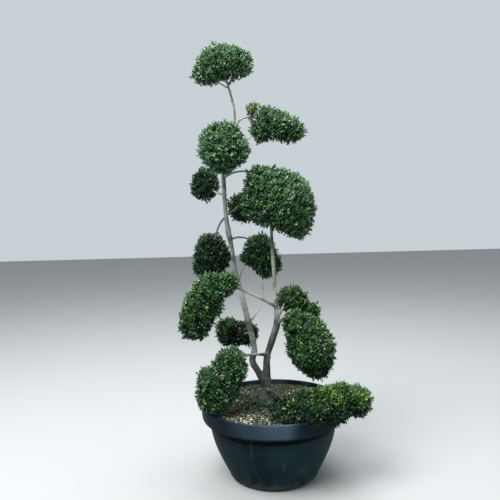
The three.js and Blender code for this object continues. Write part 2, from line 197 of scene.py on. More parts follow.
class Wire:
    """The output socket of a node, which takes part in sums."""

    def __init__(self, finish, socket):
        self.finish = finish
        self.socket = socket

    def maths(self, operation, *values):
        return self.finish.node("Math", dict(enumerate(values)), operation=operation)

    def __add__(self, other):
        return self.maths("ADD", self, other)

    def __mul__(self, other):
        return self.maths("MULTIPLY", self, other)

    def __sub__(self, other):
        return self.maths("SUBTRACT", self, other)

    def __rsub__(self, other):
        return self.maths("SUBTRACT", other, self)

    __radd__ = __add__
    __rmul__ = __mul__

    def step(self, low, high):
        """Zero below low, one above high, and smooth between them."""
        sockets = {0: self, 1: low, 2: high}
        return self.finish.node("MapRange", sockets, interpolation_type="SMOOTHSTEP")

    def band(self, low, rise, fall, high):
        """Zero below low and above high, one from rise to fall, and smooth between them."""
        return self.step(low, rise) * (1 - self.step(fall, high))


class Finish:
    """A material and the few ways of adding nodes to it."""

    def __init__(self, name, **plain):
        self.material = bpy.data.materials.new(name)
        self.material.use_nodes = True
        self.tree = self.material.node_tree
        self.shader = self.tree.nodes["Principled BSDF"]
        for socket, value in plain.items():
            self.feed(socket.replace("_", " "), value)

    def node(self, kind, sockets, output=0, **settings):
        """A node of a kind: its settings come first, then the values or wires of its sockets."""
        node = self.tree.nodes.new("ShaderNode" + kind)
        for name, value in settings.items():
            setattr(node, name, value)
        for name, value in sockets.items():
            self.join(value, node.inputs[name])
        return Wire(self, node.outputs[output])

    def join(self, value, socket):
        if isinstance(value, Wire):
            self.tree.links.new(value.socket, socket)
        elif socket.type == "RGBA":
            socket.default_value = (*value, 1)
        else:
            socket.default_value = value

    def feed(self, name, value):
        """Give one socket of the Principled shader a value or a wire."""
        self.join(value, self.shader.inputs[name])

    def place(self, stretch=(1, 1, 1)):
        """Places on the object in metres, multiplied by stretch."""
        where = self.node("TexCoord", {}, "Object")
        return self.node("VectorMath", {0: where, 1: stretch}, operation="MULTIPLY")

    def along(self, axis):
        """How far along one axis of the object a place is."""
        return self.node("SeparateXYZ", {0: self.place()}, axis)

    def cloud(self, scale, detail=3, stretch=(1, 1, 1)):
        """Soft noise from 0 to 1 with scale bumps to the metre."""
        sockets = {"Vector": self.place(stretch), "Scale": scale, "Detail": detail}
        return self.node("TexNoise", sockets, "Fac")

    def mix(self, mask, low, high):
        """The colour low where the mask is 0, and high where it is 1."""
        return self.node("Mix", {0: mask, 6: low, 7: high}, 2, data_type="RGBA")

    def layered(self, colour, *layers):
        """A colour with others laid over it in turn, each by its mask."""
        for mask, over in layers:
            colour = self.mix(mask, colour, over)
        return colour

    def bump(self, height, strength, distance):
        sockets = {"Height": height, "Strength": strength, "Distance": distance}
        self.feed("Normal", self.node("Bump", sockets, "Normal"))


def dress(piece, *finishes):
    """Give a piece its finishes, in the order of its faces' material numbers."""
    for finish in finishes:
        piece.data.materials.append(finish.material)


print("a finish starts as one Principled shader")

# %% [markdown]
# ## Floor and light
#
# The plant stood outdoors under a bright, overcast sky: the tops of the clouds are light, their
# undersides fall away into dark green, and the leaves throw small white glints. One lamp would cast
# hard shadows, so a pale dome gives the even light. A wide soft lamp above the front left gives the
# glints their direction, and one overhead lightens the tops.

# %% Floor and light
FLOOR_HALF = 14.0
FLOOR_COLOUR = (0.33, 0.335, 0.33)
SKY_COLOUR = (0.80, 0.88, 0.92)
SKY_STRENGTH = 0.72
# Each lamp: its place, what it points at, its size, its power and its colour.
LAMPS = {
    "key": ((-1.7, -2.0, 4.3), (-0.05, 0, 1.1), 2.6, 440, (0.96, 0.98, 1.0)),
    "top": ((0.3, 0.6, 4.6), (0, 0, 1.0), 3.2, 205, (0.95, 0.99, 1.0)),
}

for name, (place, aim, size, power, colour) in LAMPS.items():
    lamp = bpy.data.objects.new(name, bpy.data.lights.new(name, "AREA"))
    lamp.data.size = size
    lamp.data.energy = power
    lamp.data.color = colour
    lamp.location = place
    lamp.rotation_euler = (Vector(aim) - Vector(place)).to_track_quat("-Z", "Y").to_euler()
    bpy.context.collection.objects.link(lamp)

corners = np.array(((-1, -1, 0), (1, -1, 0), (1, 1, 0), (-1, 1, 0))) * FLOOR_HALF
floor = bpy.data.objects.new("floor", mesh_of("floor", corners, np.array(((0, 1, 2, 3),))))
bpy.context.collection.objects.link(floor)
floor_finish = Finish("floor_pale", Roughness=0.9)
floor_finish.feed("Base Color", FLOOR_COLOUR)
dress(floor, floor_finish)

sky = bpy.data.worlds.new("sky")
sky.use_nodes = True
sky.node_tree.nodes["Background"].inputs["Color"].default_value = (*SKY_COLOUR, 1)
sky.node_tree.nodes["Background"].inputs["Strength"].default_value = SKY_STRENGTH
bpy.context.scene.world = sky
bpy.context.scene.view_settings.view_transform = "Standard"
print("lamps:", len(LAMPS))

# %% [markdown]
# ## The bowl
#
# The bowl is one moulding of dark grey plastic: a flat foot, a side that swells out and then
# straightens, and a tall collar with a rounded lower edge that steps out over the side. It could be
# a subdivided cylinder, but every part of it is round, so its profile is drawn once, with short
# arcs at the edges, and turned about the axis.

# %% Bowl profile
POT_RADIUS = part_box("pot")[1][0]
POT_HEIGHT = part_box("pot")[1][2]
POT_FOOT_RADIUS = 0.136
POT_HEEL_RADIUS = 0.163
POT_HEEL_HEIGHT = 0.026
POT_HEEL_EDGE = 0.002
POT_WAIST_RADIUS = 0.246
POT_WAIST_HEIGHT = 0.214
POT_SWELL = 1.42
POT_WALL = 0.004
POT_FLOOR = 0.006
POT_FLOOR_ROUND = 0.014
COLLAR_FOOT = POT_HEIGHT - 0.061
COLLAR_FOOT_RADIUS = POT_RADIUS - 0.006
COLLAR_FLARE = 0.0055
COLLAR_ROUND = 0.0075
LIP_ROUND = 0.0045
POT_SIDES = 128


def bowl_radius(height):
    """The outer radius of the bowl's side: it swells out from the heel and then straightens."""
    share = min(1, height / POT_WAIST_HEIGHT)
    swell = math.sin(share * POT_SWELL) / math.sin(POT_SWELL)
    return POT_HEEL_RADIUS + (POT_WAIST_RADIUS - POT_HEEL_RADIUS) * swell


def arc(centre, radius, start, end, steps):
    """Points of an arc in the profile plane, from the start angle to the end angle in degrees."""
    angles = np.radians(np.linspace(start, end, steps))
    return [(centre[0] + radius * math.cos(a), centre[1] + radius * math.sin(a)) for a in angles]


def bowl_inside(clearance, steps):
    """Points up the inside of the bowl's side, this far from it."""
    heights = np.linspace(POT_FLOOR + POT_FLOOR_ROUND, POT_WAIST_HEIGHT, steps)
    return [(bowl_radius(z) - POT_WALL - clearance, z) for z in heights]


def bowl_profile():
    """Outside from the centre of the foot to the lip, then inside down to the floor."""
    foot = [(0, 0), (POT_FOOT_RADIUS - 0.016, 0), (POT_FOOT_RADIUS, 0)]
    heel_width = bowl_radius(POT_HEEL_HEIGHT) - POT_FOOT_RADIUS - POT_HEEL_EDGE
    heel = [(POT_FOOT_RADIUS + POT_HEEL_EDGE + heel_width * r, POT_HEEL_HEIGHT * (1 + z))
            for r, z in arc((0, 0), 1, -84, -24, 8)]
    side = [(bowl_radius(z), z) for z in np.linspace(POT_HEEL_HEIGHT, POT_WAIST_HEIGHT, 30)]
    neck = [(POT_WAIST_RADIUS + 0.0015, COLLAR_FOOT - 0.004), (POT_WAIST_RADIUS + 0.004, COLLAR_FOOT)]
    edge_middle = (COLLAR_FOOT_RADIUS - COLLAR_ROUND, COLLAR_FOOT + COLLAR_ROUND)
    edge = arc(edge_middle, COLLAR_ROUND, -90, -4, 8)
    wall_top = POT_HEIGHT - LIP_ROUND
    wall_rise = wall_top - COLLAR_FOOT
    wall = [(POT_RADIUS - COLLAR_FLARE * (1 - t) ** 1.6, COLLAR_FOOT + t * wall_rise)
            for t in np.linspace(0.2, 0.97, 9)]
    lip = arc((POT_RADIUS - LIP_ROUND, wall_top), LIP_ROUND, 0, 180, 11)
    inner_collar = [(POT_RADIUS - 0.0095, POT_HEIGHT - 0.02), (POT_RADIUS - 0.012, COLLAR_FOOT + 0.014),
                    (POT_RADIUS - 0.019, COLLAR_FOOT + 0.005), (POT_WAIST_RADIUS, COLLAR_FOOT + 0.003)]
    inner = bowl_inside(0, 14)[::-1]
    floor_edge = [(POT_FOOT_RADIUS, POT_FLOOR), (0, POT_FLOOR)]
    return foot + heel + side + neck + edge + wall + lip + inner_collar + inner + floor_edge


bowl = put(mesh_of("bowl", *turned(bowl_profile(), POT_SIDES)), "pot", "pot")
print("bowl faces:", len(bowl.data.polygons))

# %% [markdown]
# The plastic is a dull dark grey that shows blue where the sky falls on it. A painted bluish highlight
# lightens the collar at the front, and painted shade fills the corner under it. The side is patchy and
# darker towards the left with painted shade. It has stood in a nursery for years, with dust round the
# foot, pale water marks and short scuffs.
# A painted image would have to be wrapped round the swell; noise and heights need no wrapping.

# %% Bowl finish
plastic = Finish("pot_plastic", Specular_IOR_Level=0.03)
level = plastic.along("Z")
across = plastic.along("X")
grain = plastic.cloud(420, 2)
patches = plastic.cloud(9, 4)
uneven = patches.step(0.3, 0.7)
runs = plastic.cloud(34, 3, (1, 1, 0.07)).step(0.58, 0.72)
scuffs = plastic.cloud(60, 2, (1, 1, 3.4)).step(0.68, 0.72) * patches.step(0.45, 0.6)
low_dust = (1 - level.step(0.0, 0.06)) * plastic.cloud(38, 5).step(0.32, 0.62)
dirt = low_dust * 0.4 + runs * 0.1 + scuffs * 0.24
# Patchy tone, and painted shade that darkens the side towards the left.
patches_and_painted_left_shade = uneven * 0.4 + across.step(-0.17, 0.19) * 0.6
side_colour = plastic.mix(patches_and_painted_left_shade, (0.0018, 0.007, 0.0085), (0.0125, 0.030, 0.036))
# Painted highlight: the collar turns pale blue in a band across its middle.
painted_collar_highlight = across.band(-0.19, 0.02, 0.03, 0.095) * (0.6 + 0.4 * uneven)
collar_colour = plastic.layered(
    (0.003, 0.0075, 0.0115), (uneven, (0.006, 0.0135, 0.0195)), (painted_collar_highlight, (0.052, 0.078, 0.110)))
on_collar = level.step(COLLAR_FOOT - 0.002, COLLAR_FOOT + 0.012)
# Painted shade: near black just under the collar, in the corner it overhangs.
painted_shade_under_collar = level.step(COLLAR_FOOT - 0.030, COLLAR_FOOT - 0.021) * (1 - on_collar)
plastic.feed("Base Color", plastic.layered(
    side_colour, (on_collar, collar_colour), (painted_shade_under_collar * 0.9, (0.001, 0.001, 0.001)),
    (dirt, (0.13, 0.135, 0.13))))
plastic.feed("Roughness", 0.40 + patches * 0.16 + dirt * 0.5)
plastic.bump(grain * 0.4 + patches * 0.6, 0.25, 0.001)
dress(bowl, plastic)
print("bowl finish:", plastic.material.name)

# %% [markdown]
# ## The soil and its litter
#
# The bowl is filled to just under its rim with dark compost, nearly flat, with some moss and fine
# pale crumbs. It could be a plain disc, but its edge shows in the bowl, so it is a turned body that
# fills the bowl with a rumpled top. The finest crumbs are only colour and bump.

# %% Soil
SOIL_EDGE = 0.275
SOIL_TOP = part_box("soil")[1][2]
SOIL_RADIUS = 0.2714
SOIL_RUMPLE = 0.0035
SOIL_LEVEL_RADIUS = 0.095
SOIL_SLOPE_WIDTH = 0.176
SOIL_GAP = 0.0006
SOIL_SIDES = 140


def soil_height(places):
    """The height of the compost's top, without its rumples."""
    from_axis = np.hypot(places[:, 0], places[:, 1])
    slope = np.clip((from_axis - SOIL_LEVEL_RADIUS) / SOIL_SLOPE_WIDTH, 0, 1)
    return SOIL_TOP - 0.001 - (SOIL_TOP - SOIL_EDGE) * slope


def on_soil(places, lift):
    """Places in plan, raised to the compost's top and lifted off it."""
    return np.concatenate((places, (soil_height(places) + lift)[:, None]), axis=1)


floor_height = POT_FLOOR + SOIL_GAP
soil_floor = [(0, floor_height), (POT_FOOT_RADIUS - SOIL_GAP, floor_height)]
under_collar = [(0.2445, 0.2345), (0.2595, 0.2365), (0.266, 0.246),
                (SOIL_RADIUS - 0.001, SOIL_EDGE - 0.006)]
top_rings = [(radius, SOIL_TOP) for radius in np.linspace(SOIL_RADIUS, 0.004, 44)]
soil_profile = soil_floor + bowl_inside(SOIL_GAP, 8) + under_collar + top_rings + [(0, SOIL_TOP)]
soil_points, *soil_faces = turned(soil_profile, SOIL_SIDES)
on_top = soil_points[:, 2] > SOIL_TOP - 1e-6
top = soil_points[on_top]
lumps = rumple(top, 0.03, 3) * 0.6 + rumple(top, 0.011, 4) * 0.4
soil_points[on_top, 2] = soil_height(top) - SOIL_RUMPLE * (0.7 - 0.7 * lumps)
soil = put(mesh_of("soil_fill", soil_points, *soil_faces), "soil", "soil")

compost = Finish("soil_compost", Roughness=0.95)
crumbs = compost.cloud(260, 5)
moss = compost.cloud(17, 3).step(0.46, 0.60)
flecks = compost.cloud(240, 2).step(0.58, 0.63) * (0.95 - moss * 0.7)
earth = compost.mix(crumbs.step(0.35, 0.65), (0.010, 0.010, 0.006), (0.050, 0.044, 0.026))
mossy = compost.mix(crumbs.step(0.4, 0.6), (0.02, 0.035, 0.01), (0.06, 0.09, 0.022))
ground = compost.layered(earth, (moss * 0.75, mossy), (flecks, (0.38, 0.35, 0.26)))
compost.feed("Base Color", ground)
compost.bump(crumbs, 0.9, 0.004)
dress(soil, compost)
print("soil faces:", len(soil.data.polygons))

# %% [markdown]
# A leaf and a dead leaf are the same small sheet: a foot, a tip and two points on each side. Its
# two halves meet along the midrib, where a number for each leaf folds it, and another bends it
# towards its tip. Modelled leaves copied about would all be alike, so thousands are worked out at
# once. Each gets a material number, so colours are dealt out leaf by leaf and need no image.

# %% The leaf
LEAF_ALONG = np.array((0.0, 0.3, 0.7, 1.0, 0.7, 0.3))
LEAF_ACROSS = np.array((0.0, 0.46, 0.43, 0.0, -0.43, -0.46))
LEAF_FACES = np.array(((0, 1, 2), (0, 2, 3), (0, 3, 4), (0, 4, 5)))


def leaves(name, feet, ways, faces_up, lengths, widths, folds, curls, looks):
    """One mesh of leaves: each grows from its foot along its way, with its upper face up."""
    across = unit(np.cross(ways, faces_up))
    lift = np.cross(across, ways)
    along = LEAF_ALONG * lengths[:, None]
    side = LEAF_ACROSS * widths[:, None]
    high = folds[:, None] * np.abs(side) - curls[:, None] * along * LEAF_ALONG
    points = (feet[:, None] + along[..., None] * ways[:, None] + side[..., None] * across[:, None]
              + high[..., None] * lift[:, None])
    first = np.arange(len(feet))[:, None, None] * len(LEAF_ALONG)
    mesh = mesh_of(name, points.reshape(-1, 3), (first + LEAF_FACES).reshape(-1, 3))
    face_looks = np.repeat(looks, len(LEAF_FACES)).astype(np.int32)
    mesh.polygons.foreach_set("material_index", face_looks)
    return mesh


def flecked(name, colour, roughness, size, depth, shine=0.4):
    """A plain colour with a fine uneven skin: small bumps that also change how it shines."""
    finish = Finish(name, Specular_IOR_Level=shine)
    finish.feed("Base Color", colour)
    skin = finish.cloud(1 / size, 2)
    finish.feed("Roughness", roughness - 0.1 + skin * 0.2)
    finish.bump(skin, 0.35, depth)
    return finish


print("corners of a leaf:", len(LEAF_ALONG))

# %% [markdown]
# The litter on the compost is bark chips and curled dead leaves, mostly near black, with brown,
# tan, pinkish, pale and green ones between. It could be a texture, but from this height each chip
# catches its own light, so it is over five thousand small folded sheets.
#
# They aren't dealt out evenly. Water has carried slim pale chips to the rim at the front left, what
# lies behind the trunk is darker, and in damp patches elsewhere no pale chip shows.

# %% Litter
CHIPS = 5600
CHIP_REACH = 0.262
CHIP_LIMIT = 0.268
# Each kind of chip: its colour and its share.
LITTER = {
    "litter_dark": ((0.006, 0.008, 0.004), 0.44),
    "litter_brown": ((0.048, 0.044, 0.027), 0.13),
    "litter_tan": ((0.180, 0.180, 0.095), 0.07),
    "litter_pink": ((0.30, 0.235, 0.175), 0.05),
    "litter_pale": ((0.60, 0.58, 0.46), 0.17),
    "litter_green": ((0.050, 0.090, 0.018), 0.14),
}
DARK, BROWN, TAN, PINK, PALE, MOSSY = range(len(LITTER))
DRIFT_MIDDLE = (-0.112, -0.186)
DRIFT_REACH = 0.096
DRIFT_SHARE = 0.55
BEHIND_SHARE = 0.4

rng = np.random.default_rng(5)
turns = rng.uniform(0, math.tau, CHIPS)
plan_places = round_about(turns, CHIP_REACH * np.sqrt(rng.uniform(0, 1, CHIPS)))
feet = on_soil(plan_places, rng.uniform(0.0, 0.003, CHIPS))
ways = headings(rng.uniform(0, math.tau, CHIPS), rng.normal(0.08, 0.13, CHIPS))
lengths = rng.uniform(0.004, 0.012, CHIPS)
kept = np.hypot(*(feet + ways * lengths[:, None])[:, :2].T) < CHIP_LIMIT
faces_up = unit(UP + rng.normal(0, 0.48, (CHIPS, 3)))

looks = rng.choice(len(LITTER), CHIPS, p=[share for _, share in LITTER.values()])
drift = distance(feet[:, :2], DRIFT_MIDDLE) < DRIFT_REACH * rng.uniform(0.3, 1.2, CHIPS)
drift_looks = rng.choice((BROWN, TAN, PINK, PALE), CHIPS, p=(0.16, 0.3, 0.24, 0.3))
looks = np.where(drift & (rng.uniform(0, 1, CHIPS) < DRIFT_SHARE), drift_looks, looks)
behind = (feet[:, 1] > 0.02) & (rng.uniform(0, 1, CHIPS) < BEHIND_SHARE)
looks = np.where(behind, rng.choice((DARK, BROWN, MOSSY), CHIPS), looks)
damp = (rumple(feet, 0.05, 61) < -0.04) & ~drift
looks = np.where(damp & np.isin(looks, (TAN, PINK, PALE)), DARK, looks)
lengths = np.where(drift, lengths * 1.25, lengths)
widths = lengths * rng.uniform(0.35, 0.7, CHIPS) * np.where(drift, 0.62, 1)
folds = rng.uniform(-0.5, 0.5, CHIPS)
curls = rng.uniform(-0.2, 0.2, CHIPS)
parts = (feet, ways, faces_up, lengths, widths, folds, curls, looks)
litter = put(leaves("litter", *(part[kept] for part in parts)), "soil")
dress(litter, *(flecked(name, colour, 0.75, 0.003, 0.0006) for name, (colour, _) in LITTER.items()))
print("pieces of litter:", int(kept.sum()))

# %% [markdown]
# ## The limbs
#
# The limbs repeat the routes of the frame. The stems are smooth curves through listed places, each with
# its radius, and every bough bows from its parent to its tip. A curve object with a bevel could draw
# each one, but separate tubes cross in hard creases where real bark flows from stem to bough, so the
# tubes are fused by a voxel remesh and smoothed.

# %% Routes of the limbs
# Each place on a stem: where it is and how thick the stem is there, as a radius.
STEMS = {
    "trunk": [(-32, 20, 268, 30), (-31, 20, 284, 26), (-29, 20, 300, 22.5), (-25, 20, 330, 20.2),
        (-20, 20, 374, 19.6)],
    "right_stem": [(-20, 20, 366, 17), (-16, 20, 460, 13), (4, 20, 520, 13.5), (26, 20, 591, 13.5),
        (25, 19, 640, 9), (20, 12, 726, 7.6), (18, 2, 797, 7.8), (14, -10, 864, 7.4),
        (10, -36, 976, 5.8)],
    "left_stem": [(-26, 20, 346, 16), (-54, 20, 401, 13.5), (-75, 20, 442, 13.2), (-66, 20, 486, 11.8),
        (-86, 15, 594, 12.2), (-106, 10, 686, 11.6), (-132, 8, 801, 8.6), (-146, 14, 905, 9.4),
        (-156, 18, 955, 11.6)],
    "leader": [(-155, 18, 951, 11.6), (-162, 20, 1000, 9.2), (-168, 26, 1119, 9), (-169, 30, 1169, 9),
        (-162, 32, 1235, 8.6), (-136, 28, 1311, 8), (-119, 22, 1361, 7.6)],
    "crown_stem": [(-121, 22, 1354, 5.4), (-119, 20, 1418, 4.8), (-126, 20, 1460, 4.8),
        (-147, 20, 1540, 4.6)],
}

# Each bough: where it starts, where it ends, how it bows, and its radius at both ends.
BOUGHS = {
    "upper_right_bough": ((-119, 22, 1352), (-48, 29, 1397), (-12, 0, 16), (5, 3.6)),
    "upper_right_twig": ((-152, 30, 1262), (-30, 26, 1343), (0, -8, -6), (3.2, 2)),
    "upper_left_bough": ((-168, 30, 1138), (-166, -44, 1196), (0, -10, -6), (5, 4)),
    "great_bough": ((-167, 30, 1168), (-60, -50, 1178), (0, -6, 12), (4.8, 3.4)),
    "back_left_high_bough": ((-167, 26, 1104), (-220, 96, 1126), (0, 6, -6), (4.6, 3.2)),
    "back_middle_high_bough": ((-163, 22, 1022), (-118, 80, 1057), (2, 2, -4), (4.6, 3.2)),
    "back_left_bough": ((-162, 20, 1014), (-212, 92, 930), (-4, 6, 14), (4.8, 3.4)),
    "back_middle_bough": ((-148, 14, 926), (-62, 92, 914), (0, 0, 12), (4.6, 3.4)),
    "back_middle_low_twig": ((-120, 10, 748), (-92, 102, 826), (-4, 0, 4), (3, 2)),
    "back_middle_twig": ((-84, 15, 598), (-34, 106, 782), (28, 0, -12), (4.4, 2.2)),
    "left_bough": ((24, 19, 656), (-150, -70, 756), (4, -6, 3), (6.4, 4.8)),
    "back_left_low_bough": ((-79, 18, 552), (-106, 88, 536), (0, 0, 3), (4.4, 3.2)),
    "back_right_bough": ((27, 20, 604), (60, 88, 657), (0, 0, -5), (5, 3.6)),
    "right_bough": ((27, 19, 584), (66, -22, 617), (0, -2, 8), (6.4, 4.6)),
    "pot_left_bough": ((-16, 20, 464), (-122, -90, 487), (6, -8, 8), (7.2, 4.8)),
    "pot_right_bough": ((-25, 20, 326), (46, -134, 322), (0, -6, 12), (6.6, 4.8)),
}
MM_PER_METRE = 1000
LIMB_STEP = 0.004


def curve_through(rows):
    """A smooth line through rows of place and radius, with a point about every LIMB_STEP."""
    rows = np.array(rows) / MM_PER_METRE
    padded = np.concatenate((2 * rows[:1] - rows[1:2], rows, 2 * rows[-1:] - rows[-2:-1]))
    stretches = []
    for before, start, end, after in zip(padded, padded[1:], padded[2:], padded[3:]):
        pairs = ((before, start), (start, end), (end, after))
        first, mid, last = (distance(a[:3], b[:3]) ** 0.5 for a, b in pairs)
        leave = ((start - before) / first - (end - before) / (first + mid)) * mid + end - start
        reach = ((after - end) / last - (after - start) / (mid + last)) * mid + end - start
        t = np.linspace(0, 1, max(2, round(mid**2 / LIMB_STEP)), endpoint=False)[:, None]
        swing = (t**3 - 2 * t**2 + t) * leave + (t**3 - t**2) * reach
        stretches.append(start + (3 * t**2 - 2 * t**3) * (end - start) + swing)
    return np.concatenate((*stretches, rows[-1:]))


def bowed(start, end, bow, radii):
    """A bough as rows of place and radius, with a swollen collar where it leaves its parent."""
    start, end, bow = np.array((start, end, bow)) / MM_PER_METRE
    length = distance(start, end)
    u = np.linspace(0, 1, round(length / LIMB_STEP))[:, None]
    places = start + (end - start) * u + bow * 4 * u * (1 - u)
    radius = (radii[0] + (radii[1] - radii[0]) * u) / MM_PER_METRE
    collar = 1 + 0.45 * np.exp(-u * length / 0.011)
    return np.concatenate((places, radius * collar), axis=1)


routes = {name: curve_through(path) for name, path in STEMS.items()}
routes["trunk"] = routes["trunk"][routes["trunk"][:, 2] > SOIL_TOP - 0.004]
routes.update({name: bowed(*plan) for name, plan in BOUGHS.items()})
limb_rows = np.concatenate(list(routes.values()))
print("limbs:", len(routes), "with", len(limb_rows), "rings")

# %% [markdown]
# One helper makes tubes for everything woody, from the trunk to the finest shoot. It takes many
# routes at once. Each ring of corners lies across its route, and both ends are closed, because the
# remesh needs closed shapes.

# %% Tubes
BATCH = 4000


def sideways(along, hints):
    """Two unit vectors across each of the ways, with hints for which axis is far from them."""
    side = unit(np.cross(along, np.eye(3)[np.abs(hints).argmin(axis=-1)]))
    return side, np.cross(along, side)


def tubes(paths, radii, sides):
    """Points, quads and end faces of tapering tubes; paths is (tubes, rings, 3)."""
    count, rings = radii.shape
    along = unit(np.gradient(paths, axis=1))
    side, other = sideways(along, along.mean(axis=1, keepdims=True))
    angles = (np.arange(sides) * math.tau / sides)[:, None]
    outwards = np.cos(angles) * side[:, :, None] + np.sin(angles) * other[:, :, None]
    points = paths[:, :, None] + radii[:, :, None, None] * outwards
    here = np.arange(count * rings * sides).reshape(count, rings, sides)
    ends = np.concatenate((here[:, 0, ::-1], here[:, -1]))
    return points.reshape(-1, 3), skin_between(here), ends


def tapered(paths, thick, thin, sides):
    """Tubes that all taper from thick to thin."""
    radii = np.broadcast_to(np.linspace(thick, thin, paths.shape[1]), paths.shape[:2])
    return tubes(paths, radii, sides)


def joined(parts):
    """The points of several parts, and their faces in groups by their count of corners."""
    groups, start = {}, 0
    for points, *faces in parts:
        for group in faces:
            groups.setdefault(group.shape[1], []).append(group + start)
        start += len(points)
    return np.concatenate([part[0] for part in parts]), *map(np.concatenate, groups.values())


def nearest_limb(places, rows):
    """For each place: the nearest of these rings of limbs, and how far its bark is from there."""
    found = []
    for part in np.array_split(places, len(places) // BATCH + 1):
        gaps = distance(part[:, None], rows[:, :3]) - rows[:, 3]
        found.append((gaps.argmin(axis=1), gaps.min(axis=1)))
    return [np.concatenate(column) for column in zip(*found)]


print("a twig of two rings:", [part.shape for part in tapered(np.zeros((1, 2, 3)), 1, 1, 3)])

# %% [markdown]
# Where side twigs were cut away the stems carry small round knobs. They stand too far out to be
# part of the relief, so they are short stubs set round the stems by a seeded draw, and are fused
# with the rest.

# %% Bark mesh
BARK_VOXEL = 0.0021
BARK_SIDES = 14
KNOB_GAP = 0.055
KNOB_ALONG = np.array((0.0, 0.55, 0.86, 0.97, 1.0))
KNOB_ROUND = np.array(((1.3, 1.2, 1.0, 0.8, 0.45),))


def knobs(rows, draws):
    """Short stubs that stand out of a stem, one about every KNOB_GAP."""
    stubs = []
    for ring in np.arange(12, len(rows) - 8, round(KNOB_GAP / LIMB_STEP)):
        row = rows[ring + draws.integers(-5, 5)]
        out = headings(draws.uniform(0, math.tau), draws.uniform(0.1, 0.7))
        radius = row[3] * draws.uniform(0.34, 0.5)
        reach = row[3] + draws.uniform(0.0012, 0.0045)
        path = row[:3] + out * (reach * KNOB_ALONG)[:, None]
        stubs.append(tubes(path[None], radius * KNOB_ROUND, 8))
    return stubs


def fused(name, parts):
    """The union of closed tubes as one evenly meshed skin."""
    raw = bpy.data.objects.new("raw", mesh_of("raw", *joined(parts)))
    bpy.context.collection.objects.link(raw)
    remesh = raw.modifiers.new("fuse", "REMESH")
    remesh.mode = "VOXEL"
    remesh.voxel_size = BARK_VOXEL
    view = bpy.context.evaluated_depsgraph_get()
    mesh = bpy.data.meshes.new_from_object(raw.evaluated_get(view))
    mesh.name = name
    bpy.data.objects.remove(raw)
    return mesh


def fetched(items, name, width, kind=np.float32):
    """One property of all the vertices or edges of a mesh."""
    values = np.empty(len(items) * width, dtype=kind)
    items.foreach_get(name, values)
    return values.reshape(-1, width)


def smoothed(points, edges, rounds):
    """Points moved a little towards the middle of their neighbours, several times over."""
    count = np.bincount(edges.ravel(), minlength=len(points))[:, None]
    for _ in range(rounds):
        total = np.zeros_like(points)
        np.add.at(total, edges[:, 0], points[edges[:, 1]])
        np.add.at(total, edges[:, 1], points[edges[:, 0]])
        points = points + 0.5 * (total / np.maximum(count, 1) - points)
    return points


draws = np.random.default_rng(11)
limb_tubes = [tubes(rows[None, :, :3], rows[None, :, 3], BARK_SIDES) for rows in routes.values()]
stub_tubes = [stub for name in STEMS if name != "trunk" for stub in knobs(routes[name], draws)]
bark_mesh = fused("bark_skin", limb_tubes + stub_tubes)
edges = fetched(bark_mesh.edges, "vertices", 2, np.int32)
skin = smoothed(fetched(bark_mesh.vertices, "co", 3).astype(float), edges, 3)
reshape(bark_mesh, skin)
print("corners of the bark:", len(skin))

# %% [markdown]
# After the remesh the bark gets its relief. Bump alone would leave the edges of the limbs straight,
# so the mesh itself moves. Each corner finds its nearest ring, which says how thick the limb is
# there, and moves in or out: broad and small lumps, fine creases across, flutes along, and a
# shallow groove now and then where a twig's collar once was.

# %% Bark relief
# Each kind of relief: how its noise is stretched, its size and seed, and its share of the radius.
RELIEF = (
    ((1, 1, 1), 0.022, 21, 0.045),
    ((1, 1, 1), 0.010, 22, 0.03),
    ((1, 1, 3.2), 0.013, 23, 0.022),
    ((1, 1, 0.22), 0.009, 24, 0.03),
)
GROOVE_STRETCH = (0.25, 0.25, 1)

ring, _ = nearest_limb(skin, limb_rows)
thickness = np.clip(limb_rows[ring, 3], 0.003, 0.02)
noise = sum(rumple(skin * stretch, size, seed) * depth for stretch, size, seed, depth in RELIEF)
off_groove = np.abs(rumple(skin * GROOVE_STRETCH, 0.045, 25)) / 0.05
relief = (noise - 0.07 * np.clip(1 - off_groove, 0, 1)) * thickness
reshape(bark_mesh, skin + fetched(bark_mesh.vertices, "normal", 3) * relief[:, None])
bark_mesh.polygons.foreach_set("use_smooth", np.ones(len(bark_mesh.polygons), dtype=bool))
bark_mesh.update()
bark = put(bark_mesh, "bark", *routes)
print("relief in mm, least and most:", (relief.min() * 1000).round(2), (relief.max() * 1000).round(2))

# %% [markdown]
# Holly bark is thin and grey: a pale grey-tan skin with darker, greenish patches, fine up-and-down
# streaks, and small pale dashes across it, which are its breathing pores. It is nearly black at the
# foot and higher up the right stem, from damp and painted shade, muddy and in painted shade on the low
# bough at the front right, in painted deep shade between the clouds, dark round a few old scars and
# knots and in painted shadow below the forks, and paler in a band on the left stem. The remeshed skin
# has no seams to unwrap an image along, so stretched noises give the skin, and masks from the place on
# the plant give the rest.

# %% Bark finish
# Dark old scars and knots, partly painted shadow below the forks.
BARK_SCARS_AND_SHADOWS = ((-0.086, 0.015, 0.597), (-0.069, 0.02, 0.463), (0.004, 0.02, 0.522), (0.026, 0.02, 0.594))
bark_finish = Finish("bark_grey")
mottle = bark_finish.cloud(24, 4).step(0.34, 0.62)
spots = bark_finish.cloud(75, 2).step(0.52, 0.66)
streaks = bark_finish.cloud(300, 3, (1, 1, 0.2))
pores = bark_finish.cloud(330, 1, (1, 1, 2.6)).step(0.62, 0.7)
algae = bark_finish.cloud(11, 3).step(0.42, 0.62)
upright = bark_finish.along("Z")
across = bark_finish.along("X")
on_right = across.step(-0.05, -0.02)
# Damp bark and painted shade: darker at the foot, and higher up the right stem.
damp = 1 - (upright - on_right * 0.14).step(0.42, 0.50)
shaded = upright.band(0.70, 0.78, 1.07, 1.13) * (1 - on_right) + upright.step(0.84, 0.90) * on_right
